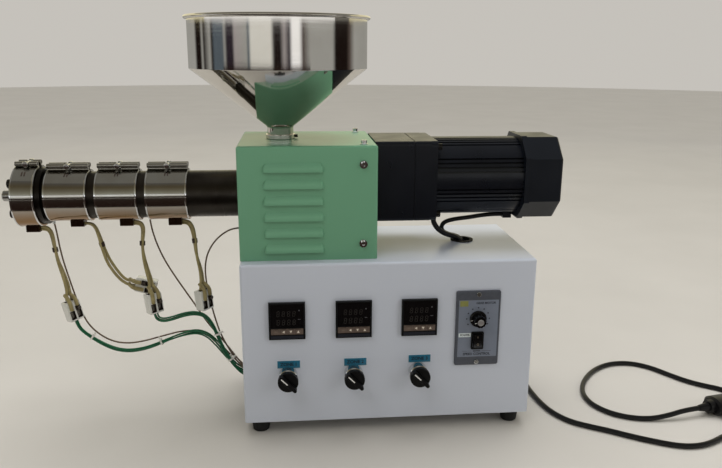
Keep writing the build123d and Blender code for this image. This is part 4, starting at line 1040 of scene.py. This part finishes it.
# Carried-over solids: their loose triangles are welded for shading and get their finish
FINISHES = (
    ("cabinet_housing cabinet_base cabinet_back_panel", WHITE_COAT),
    ("foot_front_left foot_front_right foot_back_left foot_back_right", RUBBER),
    ("temperature_controller_1 temperature_controller_2 temperature_controller_3 rocker_frame", ABS_BLACK),
    ("selector_switch_1 selector_switch_2 selector_switch_3 band_screws cover_screws", CHROME),
    ("selector_knob_1 selector_knob_2 selector_knob_3", KNOB_BLACK), ("speed_controller", PLATE_GREY),
    ("speed_controller_screws thermocouple_probes", ZINC), ("speed_knob power_rocker", GLOSS_BLACK),
    ("green_cover", GREEN_COAT), ("feed_housing nozzle", MACHINED), ("barrel", BARREL_STEEL),
    ("die_head", DIE_STEEL), ("die_bolts motor_bolts", BLACK_SCREW), ("heater_terminals", BROWNED),
    ("gearbox motor_flange motor_body", MOTOR_ENAMEL), ("fan_cover", FAN_ENAMEL),
    ("cable_grommet lead_grommet", RUBBER), ("cord_gland mains_plug", PVC_BLACK),
)


def dress(node, material):
    """A CAD node keeps its mesh; modifiers weld its triangles and split its sharp edges."""
    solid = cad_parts[node]
    solid.data.materials.clear()
    solid.data.materials.append(material)
    solid.data.shade_smooth()
    solid.modifiers.new("weld", "WELD").merge_threshold = 1e-6
    solid.modifiers.new("crisp_edges", "EDGE_SPLIT").split_angle = math.radians(34)


for names, material in FINISHES:
    for node in names.split():
        dress(node, material)


# Studio: a plain pale floor, soft lights for the shades and unseen cards for the mirror-bright steel.
# Each tone of the cards is a colour and a strength
DARK, BROWN, SLATE, PLUM = ("#2C1A17", 0.3), ("#6B5E58", 0.65), ("#75838F", 0.6), ("#3B303E", 0.55)
SILVER, PALE, WHITE, DULL = ("#BFB8B8", 0.85), ("#C4C4BF", 0.78), ("#FFFFFF", 1.25), ("#B9B6AC", 0.6)
LIGHT = ("#E2E1DA", 1.15)
# The surround's tones by azimuth in degrees, 0 to the front and rising to the right
SURROUND = (
    (-180, DULL), (-125, PALE), (-119, DARK), (-110, DARK), (-106, PALE), (-102, DARK), (-91, PALE),
    (-87, DARK), (-83, SLATE), (-70, SLATE), (-67, PALE), (-64, PLUM), (-56, PLUM), (-53, SILVER),
    (-38, PALE), (-35, SLATE), (-32, LIGHT), (-8, LIGHT), (-4, DARK), (3, DARK), (8, SILVER), (14, PLUM),
    (18, WHITE), (26, WHITE), (31, BROWN), (40, PALE), (71, PALE), (76, DARK), (95, DARK), (101, BROWN),
    (112, PALE), (180, DULL),
)
# The tones above it by height in millimetres, for the bands' mirror: one bright line, then fading
RISE = (
    (640, ("#FFFDF8", 0.85)), (690, ("#FFFFFF", 1.9)), (790, ("#FFFFFF", 1.8)), (835, ("#D3D4CC", 0.85)),
    (1250, ("#C0BDA9", 0.72)), (2000, ("#A69F88", 0.6)), (3200, ("#83765A", 0.58)), (6000, ("#7D7B77", 0.66)),
)
CARD_RADIUS = 3500


def glow(name, colour, strength):
    """An even light-giving card."""
    return start(name, "#000000", 1.0, Emission_Color=linear(colour), Emission_Strength=strength)[0]


def toned_glow(name, tones, upright):
    """Tones that run softly into one another, by height where upright, or else by azimuth."""
    material, tree, shader, coords = start(name, "#000000", 1.0, Emission_Strength=1.0)
    apart = add(tree, "ShaderNodeSeparateXYZ", {"Vector": coords}).outputs
    low, high = tones[0][0], tones[-1][0]
    if upright:
        share = add(tree, "ShaderNodeMapRange", {
            "Value": apart["Z"], "From Min": low * MM, "From Max": high * MM})
    else:
        front = add(tree, "ShaderNodeMath", {0: apart["Y"], 1: -1.0}, operation="MULTIPLY")
        angle = add(tree, "ShaderNodeMath", {0: apart["X"], 1: front}, operation="ARCTAN2")
        share = add(tree, "ShaderNodeMath", {0: angle, 1: 1 / FULL, 2: 0.5}, operation="MULTIPLY_ADD")
    ramp = add(tree, "ShaderNodeValToRGB", {"Fac": share})
    stops = ramp.color_ramp.elements
    stops[0].position, stops[1].position = 0.0, 1.0
    for place, _ in tones[1:-1]:
        stops.new((place - low) / (high - low))
    for stop, (_, (colour, strength)) in zip(stops, tones):
        stop.color = (*[c * strength for c in linear(colour)[:3]], 1)
    feed(tree, shader, {"Emission Color": ramp})
    return material


def ring(bm, low, high, first, last, index=0):
    """Part of an upright cylinder round the machine, between two heights and two azimuths."""
    steps = int((last - first) / 4)
    span, turn = math.radians(last - first), math.radians(first + 90)
    lathe(bm, [(CARD_RADIUS, low), (CARD_RADIUS, high)], (0, 0, 0), (0, 0, 1), steps, span, turn, index=index)


def card(name, bm, materials):
    """A stage card that only mirrors see."""
    made = shape(name, bm, materials)
    made.visible_camera = made.visible_diffuse = made.visible_shadow = made.visible_transmission = False


def make_cards():
    bm = bmesh.new()
    ring(bm, 380, 640, -180, 180)
    ring(bm, 2, 380, 40, 290)
    card("surround", bm, [toned_glow("surround_stripes", SURROUND, False)])
    bm = bmesh.new()
    ring(bm, 640, 6000, -100, 75)
    card("rise", bm, [toned_glow("rising_tones", RISE, True)])
    # Dark before the machine below the surround, and a pale one high at the back
    bm = bmesh.new()
    ring(bm, 2, 380, -70, 40)
    brick(bm, (-1900, -2600, 0.6), (1900, -285, 1.0))
    ring(bm, 640, 2400, 100, 262, 1)
    card("dark_front", bm, [glow("dark_card", "#452F27", 0.38), glow("back_card", "#DAD2B0", 1.3)])


def lay_floor():
    bm = bmesh.new()
    bmesh.ops.create_circle(bm, cap_ends=True, segments=64, radius=9.0)
    shape("floor", bm, [surface("pale_studio_floor", "#D0CCC5", 0.7, (300, 3, "#CBC7C0"))])


def light_room():
    """An even room that the camera sees paler than the mirrors do."""
    world = bpy.data.worlds.new("studio")
    bpy.context.scene.world = world
    world.use_nodes = True
    tree = world.node_tree
    room = tree.nodes["Background"]
    feed(tree, room, {"Color": linear("#D8D4C8"), "Strength": 0.36})
    seen = add(tree, "ShaderNodeBackground", {"Color": linear("#D3CFC8"), "Strength": 0.86})
    ray = add(tree, "ShaderNodeLightPath").outputs["Is Camera Ray"]
    feed(tree, tree.nodes["World Output"], {
        "Surface": add(tree, "ShaderNodeMixShader", {0: ray, 1: room, 2: seen})})


# Soft lights: place and aim in millimetres, size in metres, power in watts
LIGHTS = (
    ("key", (-900, -1300, 2100), (0, 0, 200), (1.6, 1.2), 10.5),
    ("fill", (1800, -1300, 1100), (50, 0, 200), (1.4, 1.4), 8),
    ("top", (100, 500, 2300), (0, 0, 200), (2.2, 1.6), 12),
)


def hang_lights():
    sun = bpy.data.lights.new("ceiling", "SUN")
    sun.energy = 1.5
    sun.angle = math.radians(55)
    hung = [(put("ceiling", sun), Vector((-0.1, -0.3, -1)))]
    for name, spot, aim, size, power in LIGHTS:
        data = bpy.data.lights.new(name, "AREA")
        data.shape = "RECTANGLE"
        data.size, data.size_y = size
        data.energy = power
        light = put(name, data)
        light.location = mm(*spot)
        hung.append((light, mm(*aim) - mm(*spot)))
    for light, direction in hung:
        light.rotation_euler = direction.to_track_quat("-Z", "Y").to_euler()
        light.visible_glossy = False


make_cards()
lay_floor()
light_room()
hang_lights()
bpy.context.scene.view_settings.view_transform = "Standard"
